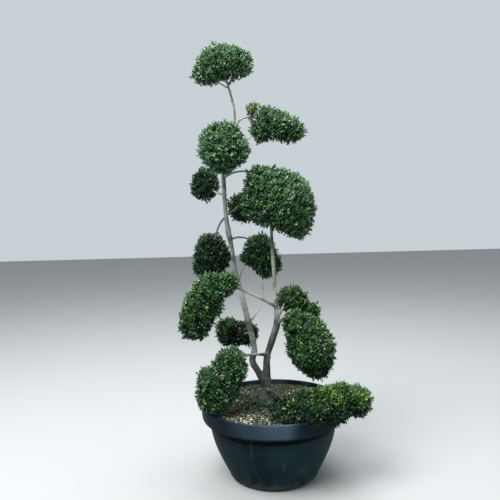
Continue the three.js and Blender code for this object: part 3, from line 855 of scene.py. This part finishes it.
# A paler band on the left stem, from about 0.6 to 0.76 m up.
pale_band = upright.band(0.60, 0.63, 0.70, 0.76) * (1 - on_right)
# Mud and painted shade on the low bough under the front right cloud.
muddy_and_shaded = (1 - upright.step(0.338, 0.35)) * across.step(-0.014, 0.0)
# Dark round the scars and knots, partly as painted shadow below the forks.
scars_and_shadows = 0
for dark_middle in BARK_SCARS_AND_SHADOWS:
    apart = {0: bark_finish.place(), 1: dark_middle}
    far = bark_finish.node("VectorMath", apart, "Value", operation="DISTANCE")
    scars_and_shadows = scars_and_shadows + (1 - far.step(0.012, 0.023))
dry_bark = bark_finish.mix(mottle, (0.085, 0.093, 0.072), (0.35, 0.367, 0.325))
damp_and_shaded_bark = bark_finish.mix(mottle, (0.009, 0.014, 0.009), (0.066, 0.080, 0.062))
shaded_bark = bark_finish.mix(mottle, (0.020, 0.030, 0.025), (0.115, 0.135, 0.120))
bark_finish.feed("Base Color", bark_finish.layered(
    dry_bark,
    (streaks.step(0.35, 0.75) * 0.45, (0.19, 0.19, 0.155)),
    (spots * 0.55, (0.09, 0.095, 0.072)),
    (algae * 0.4, (0.115, 0.145, 0.095)),
    (pores * 0.6, (0.42, 0.41, 0.35)),
    (damp * 0.84, damp_and_shaded_bark),
    (shaded * 0.85, shaded_bark),
    (pale_band * 0.6, (0.40, 0.41, 0.38)),
    (muddy_and_shaded * 0.9, (0.022, 0.021, 0.014)),
    (scars_and_shadows * 0.7, (0.020, 0.028, 0.022)),
))
bark_finish.feed("Roughness", 0.72 + streaks * 0.2)
bark_finish.bump(streaks * 0.7 + pores * 0.5 + mottle * 0.3, 0.55, 0.0011)
dress(bark, bark_finish)
print("bark finish:", bark_finish.material.name)

# %% [markdown]
# ## The clouds
#
# Each cloud is a few overlapping round lobes at the tip of one limb or more. On the real plant a
# cloud is the work of shears: from the limb's tip a few boughs spread to the lobes, main twigs fan
# out from them, and thousands of short leafy shoots end at the clipped outline.
#
# That order is also the rule here. A solid core would be quicker, but then no sky shows between the
# twigs at the edges and below, so there is none.

# %% Clouds
# Each lobe is its middle and its radius. A look is the cloud's painted light, which makes the whole
# cloud lighter or darker as its light falls, then its share of young shoots and its share of olive
# ones. A rise is how much lighter the painted light gets for each metre along X, Y and Z. Flat squashes
# the lobes, a window is a ball that stays open, and sprigs are the numbers of lobes. A cloud with no
# limbs named sits on the bough of its own name.
CLOUDS = {
    "crown_cloud": {
        "limbs": ["crown_stem"], "look": (0.38, 0.02, 0), "rise": (0.4, 0, 0), "flat": 0.72,
        "window": (-137, 8, 1526, 43),
        "lobes": [(-166, 20, 1605, 102), (-221, 14, 1561, 64), (-105, 30, 1616, 66),
            (-98, 12, 1577, 55)]},
    "upper_right_cloud": {
        "limbs": ["upper_right_bough", "upper_right_twig"], "look": (0.19, 0.08, 0.08), "sprigs": [4],
        "lobes": [(2, 30, 1386, 60), (60, 30, 1361, 60), (107, 34, 1345, 49), (-18, 26, 1346, 50),
            (-51, 30, 1432, 23)]},
    "upper_left_cloud": {
        "look": (0.25, 0.03, 0), "rise": (0.3, 0, -0.7),
        "lobes": [(-179, -92, 1269, 84), (-164, -88, 1320, 53), (-108, -92, 1254, 52),
            (-161, -82, 1213, 51), (-121, -84, 1318, 39)]},
    "great_cloud": {
        "limbs": ["right_stem", "great_bough"], "look": (0.11, 0.05, 0.22), "rise": (1.4, 0, 0),
        "lobes": [(45, -74, 1072, 120), (-22, -76, 1139, 69), (-43, -76, 1051, 65),
            (109, -72, 1032, 73), (104, -84, 976, 56)]},
    "back_left_high_cloud": {
        "look": (-0.42, 0.01, 0.1),
        "lobes": [(-251, 134, 1140, 62), (-246, 140, 1181, 47)]},
    "back_middle_high_cloud": {
        "look": (-0.32, 0.02, 0.35),
        "lobes": [(-97, 134, 1054, 66), (-52, 140, 1061, 54)]},
    "back_left_cloud": {
        "look": (-0.62, 0.02, 0),
        "lobes": [(-233, 126, 885, 70), (-248, 126, 815, 68), (-193, 122, 847, 51)]},
    "back_middle_cloud": {
        "limbs": ["back_middle_bough", "back_middle_twig", "back_middle_low_twig"],
        "look": (-0.2, 0.07, 0.2), "rise": (0.6, 0, 1.5),
        "lobes": [(-32, 124, 884, 66), (-4, 126, 821, 64), (-70, 122, 848, 47)]},
    "left_cloud": {
        "look": (-0.17, 0.07, 0.4), "rise": (0.7, 0, 0.6),
        "lobes": [(-221, -104, 752, 61), (-158, -98, 768, 46), (-254, -104, 692, 76),
            (-283, -102, 624, 68)]},
    "back_left_low_cloud": {
        "look": (-0.5, 0.03, 0.35),
        "lobes": [(-165, 132, 537, 67), (-94, 136, 530, 56)]},
    "back_right_cloud": {
        "look": (-0.08, 0.13, 0.6),
        "lobes": [(83, 124, 670, 56), (120, 120, 674, 43), (160, 124, 614, 56)]},
    "right_cloud": {
        "look": (-0.22, 0.1, 0.45), "rise": (0, 0, 0.7),
        "lobes": [(96, -48, 600, 60), (159, -50, 562, 67), (154, -54, 497, 90), (86, -50, 514, 38),
            (172, -54, 443, 61)]},
    "pot_left_cloud": {
        "look": (-0.15, 0.04, 0.15),
        "lobes": [(-154, -128, 475, 65), (-142, -126, 434, 52), (-218, -134, 403, 72),
            (-224, -134, 347, 66), (-168, -132, 375, 50)]},
    "pot_right_cloud": {
        "look": (-0.6, 0.2, 0.8), "rise": (2.0, 0, 5.5),
        "lobes": [(116, -168, 324, 60), (50, -164, 309, 42), (186, -162, 331, 66),
            (246, -152, 344, 60), (305, -146, 326, 61), (138, -230, 314, 52), (215, -194, 312, 57),
            (86, -214, 312, 48)]},
}
GOLDEN_ANGLE = math.pi * (3 - math.sqrt(5))
BEND_REACH = 0.35
FIRST_SEED = 1000


def spread(lobe, squash, spacing, draws):
    """Places spread evenly over a lobe's surface, each with its outward way."""
    area = 4 * math.pi * lobe[3] ** 2 * squash[2]
    count = max(9, round(area / spacing**2))
    index = np.arange(count)
    height = 1 - (2 * index + 1) / count
    ring = np.sqrt(1 - height**2)
    angle = index * GOLDEN_ANGLE + draws.uniform(0, 6)
    ways = np.stack((ring * np.cos(angle), ring * np.sin(angle), height), axis=-1)
    return lobe[:3] + ways * lobe[3] * squash, unit(ways / squash)


def inside(places, ball, squash=1):
    """True for places inside a ball, or inside one squashed to an ellipsoid."""
    return np.linalg.norm((places - ball[:3]) / squash, axis=-1) < ball[3]


def bends(starts, leave, ends, arrive):
    """The four corners of cubic curves that leave and arrive along the given ways."""
    reach = distance(starts, ends)[:, None] * BEND_REACH
    return starts, starts + leave * reach, ends - arrive * reach, ends


def bezier(corners, t):
    """Places and ways on cubic curves: corners is four arrays (n, 3), t is (n, k) or (1, k)."""
    a, b, c, d = (corner[:, None] for corner in corners)
    t = t[..., None]
    places = (1 - t) ** 3 * a + 3 * (1 - t) ** 2 * t * b + 3 * (1 - t) * t**2 * c + t**3 * d
    ways = 3 * ((1 - t) ** 2 * (b - a) + 2 * (1 - t) * t * (c - b) + t**2 * (d - c))
    return places, unit(ways)


def fan(rings, *route_ends):
    """Places and ways on curves from starts to ends, which may be single places."""
    corners = bends(*np.atleast_2d(*route_ends))
    return bezier(corners, np.linspace(0, 1, rings)[None])


print("clouds:", len(CLOUDS))

# %% [markdown]
# First the wood inside a cloud. From the tip of each limb that reaches it a stem runs to a lobe's
# heart. Boughs go on to the other hearts, and where a lobe is close to its limb's last rings the
# bough forks off there, below the leaves. Main twigs fan out from near each heart to about half of
# the way to the outline. Straight sticks would show in the gaps, so all are smooth curves that
# leave in the direction of what bears them.

# %% Boughs and main twigs of a cloud
TWIG_SPACING = 0.052
TWIG_REACH = 0.46
FORK_ROWS = 11
FORK_REACH = 0.11


def cloud_wood(limbs, lobes, squash, draws):
    """Tubes of a cloud's wood, and the places and ways that shoots can spring from."""
    wood, stems, springs = [], [], []
    main = limbs[0]
    for limb in limbs:
        tip, tip_radius = limb[-1, :3], limb[-1, 3]
        tip_way = unit(tip - limb[-4, :3])
        heart = lobes[distance(lobes[:, :3], tip).argmin() if stems else 0, :3]
        places, ways = fan(9, tip - tip_way * 0.002, tip_way, heart, unit(heart - tip))
        wood.append(tapered(places, tip_radius * 0.97, 0.0022, 7))
        stems.append((places[0], ways[0]))
    stem_places, stem_ways = (np.concatenate(column) for column in zip(*stems))
    for order, lobe in enumerate(lobes):
        heart = lobe[:3]
        near = distance(stem_places, heart).argmin()
        start, leave = stem_places[near], stem_ways[near]
        fork = main[-max(2, FORK_ROWS - 2 * order), :3]
        if order and distance(fork, heart) < FORK_REACH:
            start = fork
            outward = unit((heart - fork) * (1, 1, 0.35))
            leave = unit(unit(fork - main[-12, :3]) * 0.35 + outward)
        if distance(start, heart) > lobe[3] * 0.3:
            places, ways = fan(8, start, leave, heart, unit(heart - start))
            wood.append(tapered(places, 0.0026, 0.0017, 6))
            stem_places = np.concatenate((stem_places, places[0]))
            stem_ways = np.concatenate((stem_ways, ways[0]))
        ends, out = spread(lobe, squash, TWIG_SPACING, draws)
        ends = heart + (ends - heart) * TWIG_REACH * draws.uniform(0.8, 1.15, (len(ends), 1))
        close = distance(stem_places, heart) < lobe[3] * 0.75
        roots = stem_places[close]
        far = distance(ends[:, None], roots)
        pick = (far + draws.uniform(0, 0.5, far.shape) * lobe[3]).argmin(axis=1)
        leave = unit(stem_ways[close][pick] * 0.6 + out)
        places, ways = fan(5, roots[pick], leave, ends, unit(out + UP * 0.25))
        wood.append(tapered(places, 0.0018, 0.0011, 4))
        springs.append((places[:, 2:].reshape(-1, 3), ways[:, 2:].reshape(-1, 3)))
    return wood, *(np.concatenate(column) for column in zip(*springs))


print("main twigs: one for each", round(TWIG_SPACING * 1000), "mm square of outline")

# %% [markdown]
# Then the shoots. Their tips are spread over every lobe by the golden angle, and those that would
# lie well inside another lobe are left out. The rest are drawn to one outline that flows from lobe
# to lobe. It isn't perfect: it has broad dents and small deeper ones, and a few shoots have
# outgrown the last clipping, most of all on a sprig. Each shoot springs from a main twig close by
# and turns outwards and up.
#
# The leaves sit alternately round the last few centimetres of a shoot. Young ones near the tip are
# smaller and stand up along it, older ones spread, and all turn their upper face towards the light.
# Old leaves along the main twigs, dark with age and with painted shade, close the view into the cloud.
# A leaf that would touch a limb, or reach into the bowl or into the crown's open fork, is left out.

# %% Shoots of a cloud
SHOOT_SPACING = 0.0126
LEAF_INSET = 0.0066
LOBE_BLEND = 0.009
CREASE_OVERLAP = 0.006
OUTGROWN_SHARE = 0.09
RECESS_SIZE = 0.024
RECESS_LEVEL = -0.5
RECESS_DEPTH = 0.008
LIMB_CLEARANCE = 0.0015
RIM_MARGIN = 0.002
NEAR_CLOUD = 0.32


def outline(places, lobes):
    """How far each place is outside the blended outline of the lobes, and the way out there."""
    apart = places[:, None] - lobes[None, :, :3]
    far = np.linalg.norm(apart, axis=-1)
    pull = np.exp(-(far - lobes[:, 3]) / LOBE_BLEND)
    outside = -LOBE_BLEND * np.log(pull.sum(axis=1))
    return outside, unit((apart / far[..., None] * pull[..., None]).sum(axis=1))


def shoot_tips(lobes, squash, sprigs, draws):
    """Where shoots end on the outline of a cloud, their ways, their dents and their lobes."""
    found = []
    for number, lobe in enumerate(lobes):
        places, _ = spread(lobe, squash, SHOOT_SPACING, draws)
        cores = np.delete(lobes, number, axis=0) - (0, 0, 0, CREASE_OVERLAP)
        hidden = np.any([inside(places, core, squash) for core in cores], axis=0)
        places = places[~hidden] / squash
        for _ in range(4):
            outside, ways = outline(places, lobes / (*squash, 1))
            places = places - ways * outside[:, None]
        places, ways = places * squash, unit(ways / squash)
        dent = rumple(places, 0.048, 31) * 0.005 + rumple(places, 0.020, 32) * 0.004
        dent = dent + draws.normal(-0.002, 0.0045, len(places))
        outgrown = draws.uniform(0, 1, len(places)) < OUTGROWN_SHARE
        dent = dent + outgrown * draws.uniform(0.002, 0.011, len(places))
        if number in sprigs:
            dent = dent + draws.uniform(-0.004, 0.011, len(places))
        recess = np.clip((RECESS_LEVEL - rumple(places, RECESS_SIZE, 33)) / 0.12, 0, 1)
        dent = dent - RECESS_DEPTH * recess
        tips = places + ways * (dent - LEAF_INSET)[:, None]
        found.append((tips, ways, dent, np.full(len(places), number)))
    return [np.concatenate(column) for column in zip(*found)]


def clear_of_neighbours(places):
    """True where a place touches no limb and isn't in the bowl."""
    from_axis = np.hypot(places[:, 0], places[:, 1])
    over_soil = (from_axis < SOIL_RADIUS - 0.004) & (places[:, 2] > soil_height(places) + RIM_MARGIN)
    by_bowl = (from_axis < POT_RADIUS + RIM_MARGIN) & (places[:, 2] < POT_HEIGHT + RIM_MARGIN)
    near = distance(places.mean(axis=0), limb_rows[:, :3]) < NEAR_CLOUD
    _, gaps = nearest_limb(places, limb_rows[near])
    return (over_soil | ~by_bowl) & (gaps > LIMB_CLEARANCE)


print("shoots: one for each", round(SHOOT_SPACING * 1000, 1), "mm square of outline")

# %% [markdown]
# The leaf finishes are plain colours: greens from near black to fresh, two olive ones, yellow-green and
# cream for new growth, and a rare bronze. One green mixed by noise would be simpler, but holly changes
# colour from leaf to leaf. A shoot's colour follows its place, partly as painted light and shade: tops
# are painted lighter than undersides, dents are painted darker, and whole clouds, and parts of some,
# are painted lighter or darker as their light falls. Young leaves at the tips are lighter than old
# ones, whole sprays are olive, and some clouds had more new growth than others.

# %% Leaves of a cloud
LEAVES_PER_SHOOT = 16
INNER_LEAVES = 12
LEAF_LENGTH = 0.0107
LEAF_STEP = 0.0018
LEAF_TURN = math.radians(137.5)
# Each leaf finish: its colour and how much it shines.
LEAF_FINISHES = {
    # The first four greens, darkest to lightest, stand for old and young leaves and also for painted
    # shade and light; the darkest shines least, also as painted shade.
    "leaf_shade": ((0.007, 0.027, 0.011), 0.2),
    "leaf_deep": ((0.018, 0.064, 0.023), 0.4),
    "leaf_green": ((0.043, 0.122, 0.045), 0.58),
    "leaf_fresh": ((0.102, 0.214, 0.098), 0.6),
    "leaf_lime": ((0.165, 0.265, 0.044), 0.5),
    "leaf_bronze": ((0.075, 0.072, 0.030), 0.4),
    "leaf_pale": ((0.36, 0.44, 0.24), 0.4),
    "leaf_olive_deep": ((0.018, 0.062, 0.008), 0.35),
    "leaf_olive": ((0.048, 0.126, 0.014), 0.45),
}
SHADE, DEEP, GREEN, FRESH, LIME, BRONZE, CREAM, OLIVE_DEEP, OLIVE = range(len(LEAF_FINISHES))
TONE_STEPS = (0.20, 0.45, 0.72)
# Painted shade in dents and painted light on outgrown tips, for each metre of dent.
PAINTED_LIGHT_BY_DENT = 11
BRONZE_SHARE = 0.012


def inner_leaves(springs, spring_ways, sprig_lobes, draws):
    """Old leaves along the main twigs inside a cloud, dark with age and painted shade, in the order
    that leaves() takes.
    """
    twig = np.repeat(np.arange(len(springs)), INNER_LEAVES)
    count = len(twig)
    along = spring_ways[twig]
    feet = springs[twig] + along * draws.uniform(-0.007, 0.007, (count, 1))
    ways = unit(along * 0.5 + draws.normal(0, 1, (count, 3)))
    faces_up = unit(UP + draws.normal(0, 0.7, (count, 3)))
    lengths = LEAF_LENGTH * draws.uniform(1.15, 1.7, count)
    folds = draws.uniform(-0.25, 0.1, count)
    curls = draws.uniform(0, 0.2, count)
    # The darkest greens, for old leaves and painted shade inside the cloud.
    looks = draws.choice((SHADE, DEEP), count)
    for lobe in sprig_lobes:
        looks = np.where(inside(feet, lobe), draws.choice((LIME, CREAM), count), looks)
    return feet, ways, faces_up, lengths, lengths * 0.52, folds, curls, looks


def leaf_looks(plan, shoots, from_tip, seed, draws):
    """The material number of every leaf, from its shoot's place and its own place on the shoot."""
    tips, outs, dents, numbers = shoots
    painted_light, young_share, olive_share = plan["look"]
    count = len(tips)
    # Painted light and shade: tops lighter than undersides, and the whole cloud lighter or darker by
    # its painted light. Random tone and leaf age come in too.
    tone_and_painted_light = 0.5 + 0.17 * outs[:, 2] + 0.05 * rumple(tips, 0.03, seed + 7) + painted_light * 0.8
    tone_and_painted_light = tone_and_painted_light + draws.normal(0, 0.13, count) + np.clip(dents * PAINTED_LIGHT_BY_DENT, -0.15, 0.08)
    tone_and_painted_light = tone_and_painted_light[:, None] + 0.16 * np.clip(1 - from_tip / 0.010, 0, 1)
    tone_and_painted_light = tone_and_painted_light - 0.25 * np.clip(from_tip / 0.045, 0, 1)
    # Painted light that changes across the cloud by its rise.
    tone_and_painted_light = tone_and_painted_light + ((tips - tips.mean(axis=0)) @ plan.get("rise", (0, 0, 0)))[:, None]
    looks = np.searchsorted(TONE_STEPS, tone_and_painted_light + draws.normal(0, 0.13, tone_and_painted_light.shape))
    patchy = np.clip(0.55 + 2.6 * rumple(tips, 0.045, seed + 9), 0, 3)
    olive_draws = np.random.default_rng(seed + 11).uniform(0, 1, count)
    olive = (olive_draws < olive_share * (0.6 + patchy * 0.5))[:, None]
    looks = np.where(olive & (looks == DEEP), OLIVE_DEEP, looks)
    looks = np.where(olive & (looks == GREEN), OLIVE, looks)
    on_sprig = np.isin(numbers, plan.get("sprigs", []))
    new_growth = young_share * patchy * np.clip(0.7 + outs[:, 2], 0, 2)
    new_growth = draws.uniform(0, 1, count) < np.where(on_sprig, 0.85, new_growth)
    on_sprig = on_sprig[:, None]
    lime = new_growth[:, None] & (from_tip < 0.012 + 0.03 * on_sprig)
    lime &= draws.uniform(0, 1, lime.shape) < 0.8
    looks = np.where(lime, LIME, looks)
    looks = np.where(draws.uniform(0, 1, (count, 1)) < BRONZE_SHARE, BRONZE, looks)
    return np.where(on_sprig, np.where(lime, CREAM, LIME), looks)


def grow_cloud(name, plan, seed):
    """The leaves and the twigs of one cloud, as two meshes."""
    draws = np.random.default_rng(seed)
    lobes = np.array(plan["lobes"]) / MM_PER_METRE
    window = np.array(plan.get("window", (0, 0, 0, 0))) / MM_PER_METRE
    squash = np.array((1, 1, plan.get("flat", 1)))
    sprigs = np.array(plan.get("sprigs", []), dtype=int)
    limbs = [routes[limb] for limb in plan.get("limbs", [name.replace("_cloud", "_bough")])]
    wood, springs, spring_ways = cloud_wood(limbs, lobes, squash, draws)
    shoots = shoot_tips(lobes, squash, sprigs, draws)
    keep = clear_of_neighbours(shoots[0]) & ~inside(shoots[0], window)
    shoots = [part[keep] for part in shoots]
    tips, outs, *_ = shoots
    count = len(tips)
    far = distance(tips[:, None], springs)
    spring = (far + draws.uniform(0, 0.012, far.shape)).argmin(axis=1)
    roots = springs[spring]
    leave = unit(spring_ways[spring] * 0.5 + outs)
    arrive = unit(outs + UP * 0.35 + draws.normal(0, 0.28, (count, 3)))
    corners = bends(roots, leave, tips, arrive)
    places, _ = bezier(corners, np.linspace(0, 1, 3)[None])
    wood.append(tapered(places, 0.0010, 0.0005, 3))

    order = np.arange(LEAVES_PER_SHOOT)
    from_tip = (order + draws.uniform(0, 1, (count, len(order)))) * LEAF_STEP
    share = 1 - from_tip / np.maximum(distance(tips, roots), 0.01)[:, None]
    feet, ways = bezier(corners, np.clip(share, 0, 1))
    side, other = sideways(ways, ways)
    around = draws.uniform(0, 6.28, (count, 1)) + order * LEAF_TURN
    around = (around + draws.normal(0, 0.3, around.shape))[..., None]
    away = np.cos(around) * side + np.sin(around) * other
    tilt = np.radians(32 + 900 * from_tip + draws.normal(0, 12, from_tip.shape))[..., None]
    leaf_ways = unit(np.cos(tilt) * ways + np.sin(tilt) * away + outs[:, None] * 0.12)
    faces_up = unit(ways + UP * 0.55 + outs[:, None] * 0.35 + draws.normal(0, 0.42, ways.shape))
    young = 0.62 + 0.38 * np.clip(from_tip / 0.012, 0, 1)
    lengths = LEAF_LENGTH * young * draws.uniform(0.78, 1.22, from_tip.shape)
    looks = leaf_looks(plan, shoots, from_tip, seed, draws)
    widths = lengths * draws.uniform(0.44, 0.58, lengths.shape)
    folds = draws.uniform(-0.28, 0.22, lengths.shape)
    curls = draws.uniform(-0.05, 0.2, lengths.shape)
    parts = (feet, leaf_ways, faces_up, lengths, widths, folds, curls, looks)
    inner = inner_leaves(springs, spring_ways, lobes[sprigs], draws)
    parts = [np.concatenate((part[share > 0.12], more)) for part, more in zip(parts, inner)]
    reach = parts[1] * parts[3][:, None]
    middles = parts[0] + reach * 0.5
    keep = clear_of_neighbours(middles) & clear_of_neighbours(parts[0] + reach)
    keep &= ~inside(middles, window)
    leaf_mesh = leaves(name + "_leaves", *(part[keep] for part in parts))
    return leaf_mesh, mesh_of(name + "_twigs", *joined(wood))


print("leaf finishes:", len(LEAF_FINISHES))

# %% [markdown]
# What makes it holly is the gloss: a waxy skin, uneven enough to break up the glints. It could be a
# clear coat, but at this distance the plain shine of each colour gives the same small lights. The
# twigs are young, brown bark with a fine grain along them.

# %% Grow every cloud
twig_finish = Finish("twig_bark")
twig_grain = twig_finish.cloud(240, 3, (1, 1, 0.5))
twig_colour = twig_finish.mix(twig_grain.step(0.35, 0.65), (0.055, 0.042, 0.03), (0.15, 0.125, 0.09))
twig_finish.feed("Base Color", twig_colour)
twig_finish.feed("Roughness", 0.65 + twig_grain * 0.25)
twig_finish.bump(twig_grain, 0.4, 0.0005)
leaf_finishes = [flecked(name, colour, 0.33, 0.004, 0.0004, shine)
                 for name, (colour, shine) in LEAF_FINISHES.items()]

total = 0
for index, (name, plan) in enumerate(CLOUDS.items()):
    leaf_mesh, twig_mesh = grow_cloud(name, plan, FIRST_SEED + index)
    dress(put(leaf_mesh, "foliage", name), *leaf_finishes)
    dress(put(twig_mesh, "bark"), twig_finish)
    count = len(leaf_mesh.vertices) // len(LEAF_ALONG)
    total += count
    print(name, "leaves:", count, "twig faces:", len(twig_mesh.polygons))
print("leaves in all:", total)

# %% [markdown]
# Seedlings have come up in the litter. Round the foot of the trunk they are rosettes, and at the front
# right they stand close together as a mat, one to three centimetres high, under the low cloud, nearly
# all in the darkest green as painted shade. The edge of one noise-covered mound would show, so each
# seedling has a short stem out of the compost with leaves all round it.

# %% Seedlings
SEEDLINGS = 95
MAT_SEEDLINGS = 330
MAT_MIDDLE = (0.052, -0.118)
MAT_HALVES = (0.064, 0.118)
SEEDLING_LEAVES = 11
TRUNK_SHARE = 0.6

rng = np.random.default_rng(17)
by_trunk = rng.uniform(0, 1, SEEDLINGS) < TRUNK_SHARE
turns = np.where(by_trunk, rng.uniform(-2.9, 0.1, SEEDLINGS), rng.uniform(-2.4, 0.4, SEEDLINGS))
far = np.where(by_trunk, rng.uniform(0.026, 0.075, SEEDLINGS), rng.uniform(0.09, 0.245, SEEDLINGS))
scattered = np.where(by_trunk[:, None], routes["trunk"][0, :2], 0) + round_about(turns, far)
turns = rng.uniform(0, math.tau, MAT_SEEDLINGS)
mat = MAT_MIDDLE + round_about(turns, np.sqrt(rng.uniform(0, 1, MAT_SEEDLINGS))) * MAT_HALVES
roots = on_soil(np.concatenate((scattered, mat)), -0.001)
in_mat = np.arange(len(roots)) >= SEEDLINGS
heights = np.where(in_mat, rng.uniform(0.010, 0.030, len(roots)), rng.uniform(0.001, 0.005, len(roots)))
lean = rng.normal(0, 0.3, (len(roots), 3))
lean[:, 2] = 1
tops = roots + lean * heights[:, None]

owner = np.repeat(np.arange(len(roots)), SEEDLING_LEAVES)
count = len(owner)
feet = roots[owner] + (tops - roots)[owner] * rng.uniform(0.1, 1, (count, 1))
feet[:, :2] += rng.normal(0, 0.0025, (count, 2))
ways = headings(rng.uniform(0, math.tau, count), rng.uniform(0.2, 1.5, count))
lengths = rng.uniform(0.007, 0.014, count)
faces_up = unit(UP + rng.normal(0, 0.4, (count, 3)))
looks = rng.choice((SHADE, DEEP, GREEN, FRESH, LIME), count, p=(0.15, 0.3, 0.3, 0.18, 0.07))
# Painted shade: the mat under the low cloud takes the darkest greens.
mat_shaded_looks = rng.choice((SHADE, DEEP, GREEN), count, p=(0.88, 0.10, 0.02))
looks = np.where(in_mat[owner], mat_shaded_looks, looks)
folds = rng.uniform(-0.2, 0.3, count)
curls = rng.uniform(0, 0.35, count)
seedling_mesh = leaves("seedlings", feet, ways, faces_up, lengths, lengths * 0.48, folds, curls, looks)
dress(put(seedling_mesh, "foliage"), *leaf_finishes)
stem_parts = tapered(np.stack((roots, (roots + tops) / 2, tops), axis=1), 0.0007, 0.0007, 3)
dress(put(mesh_of("seedling_stems", *stem_parts), "bark"), twig_finish)
print("seedling leaves:", count)
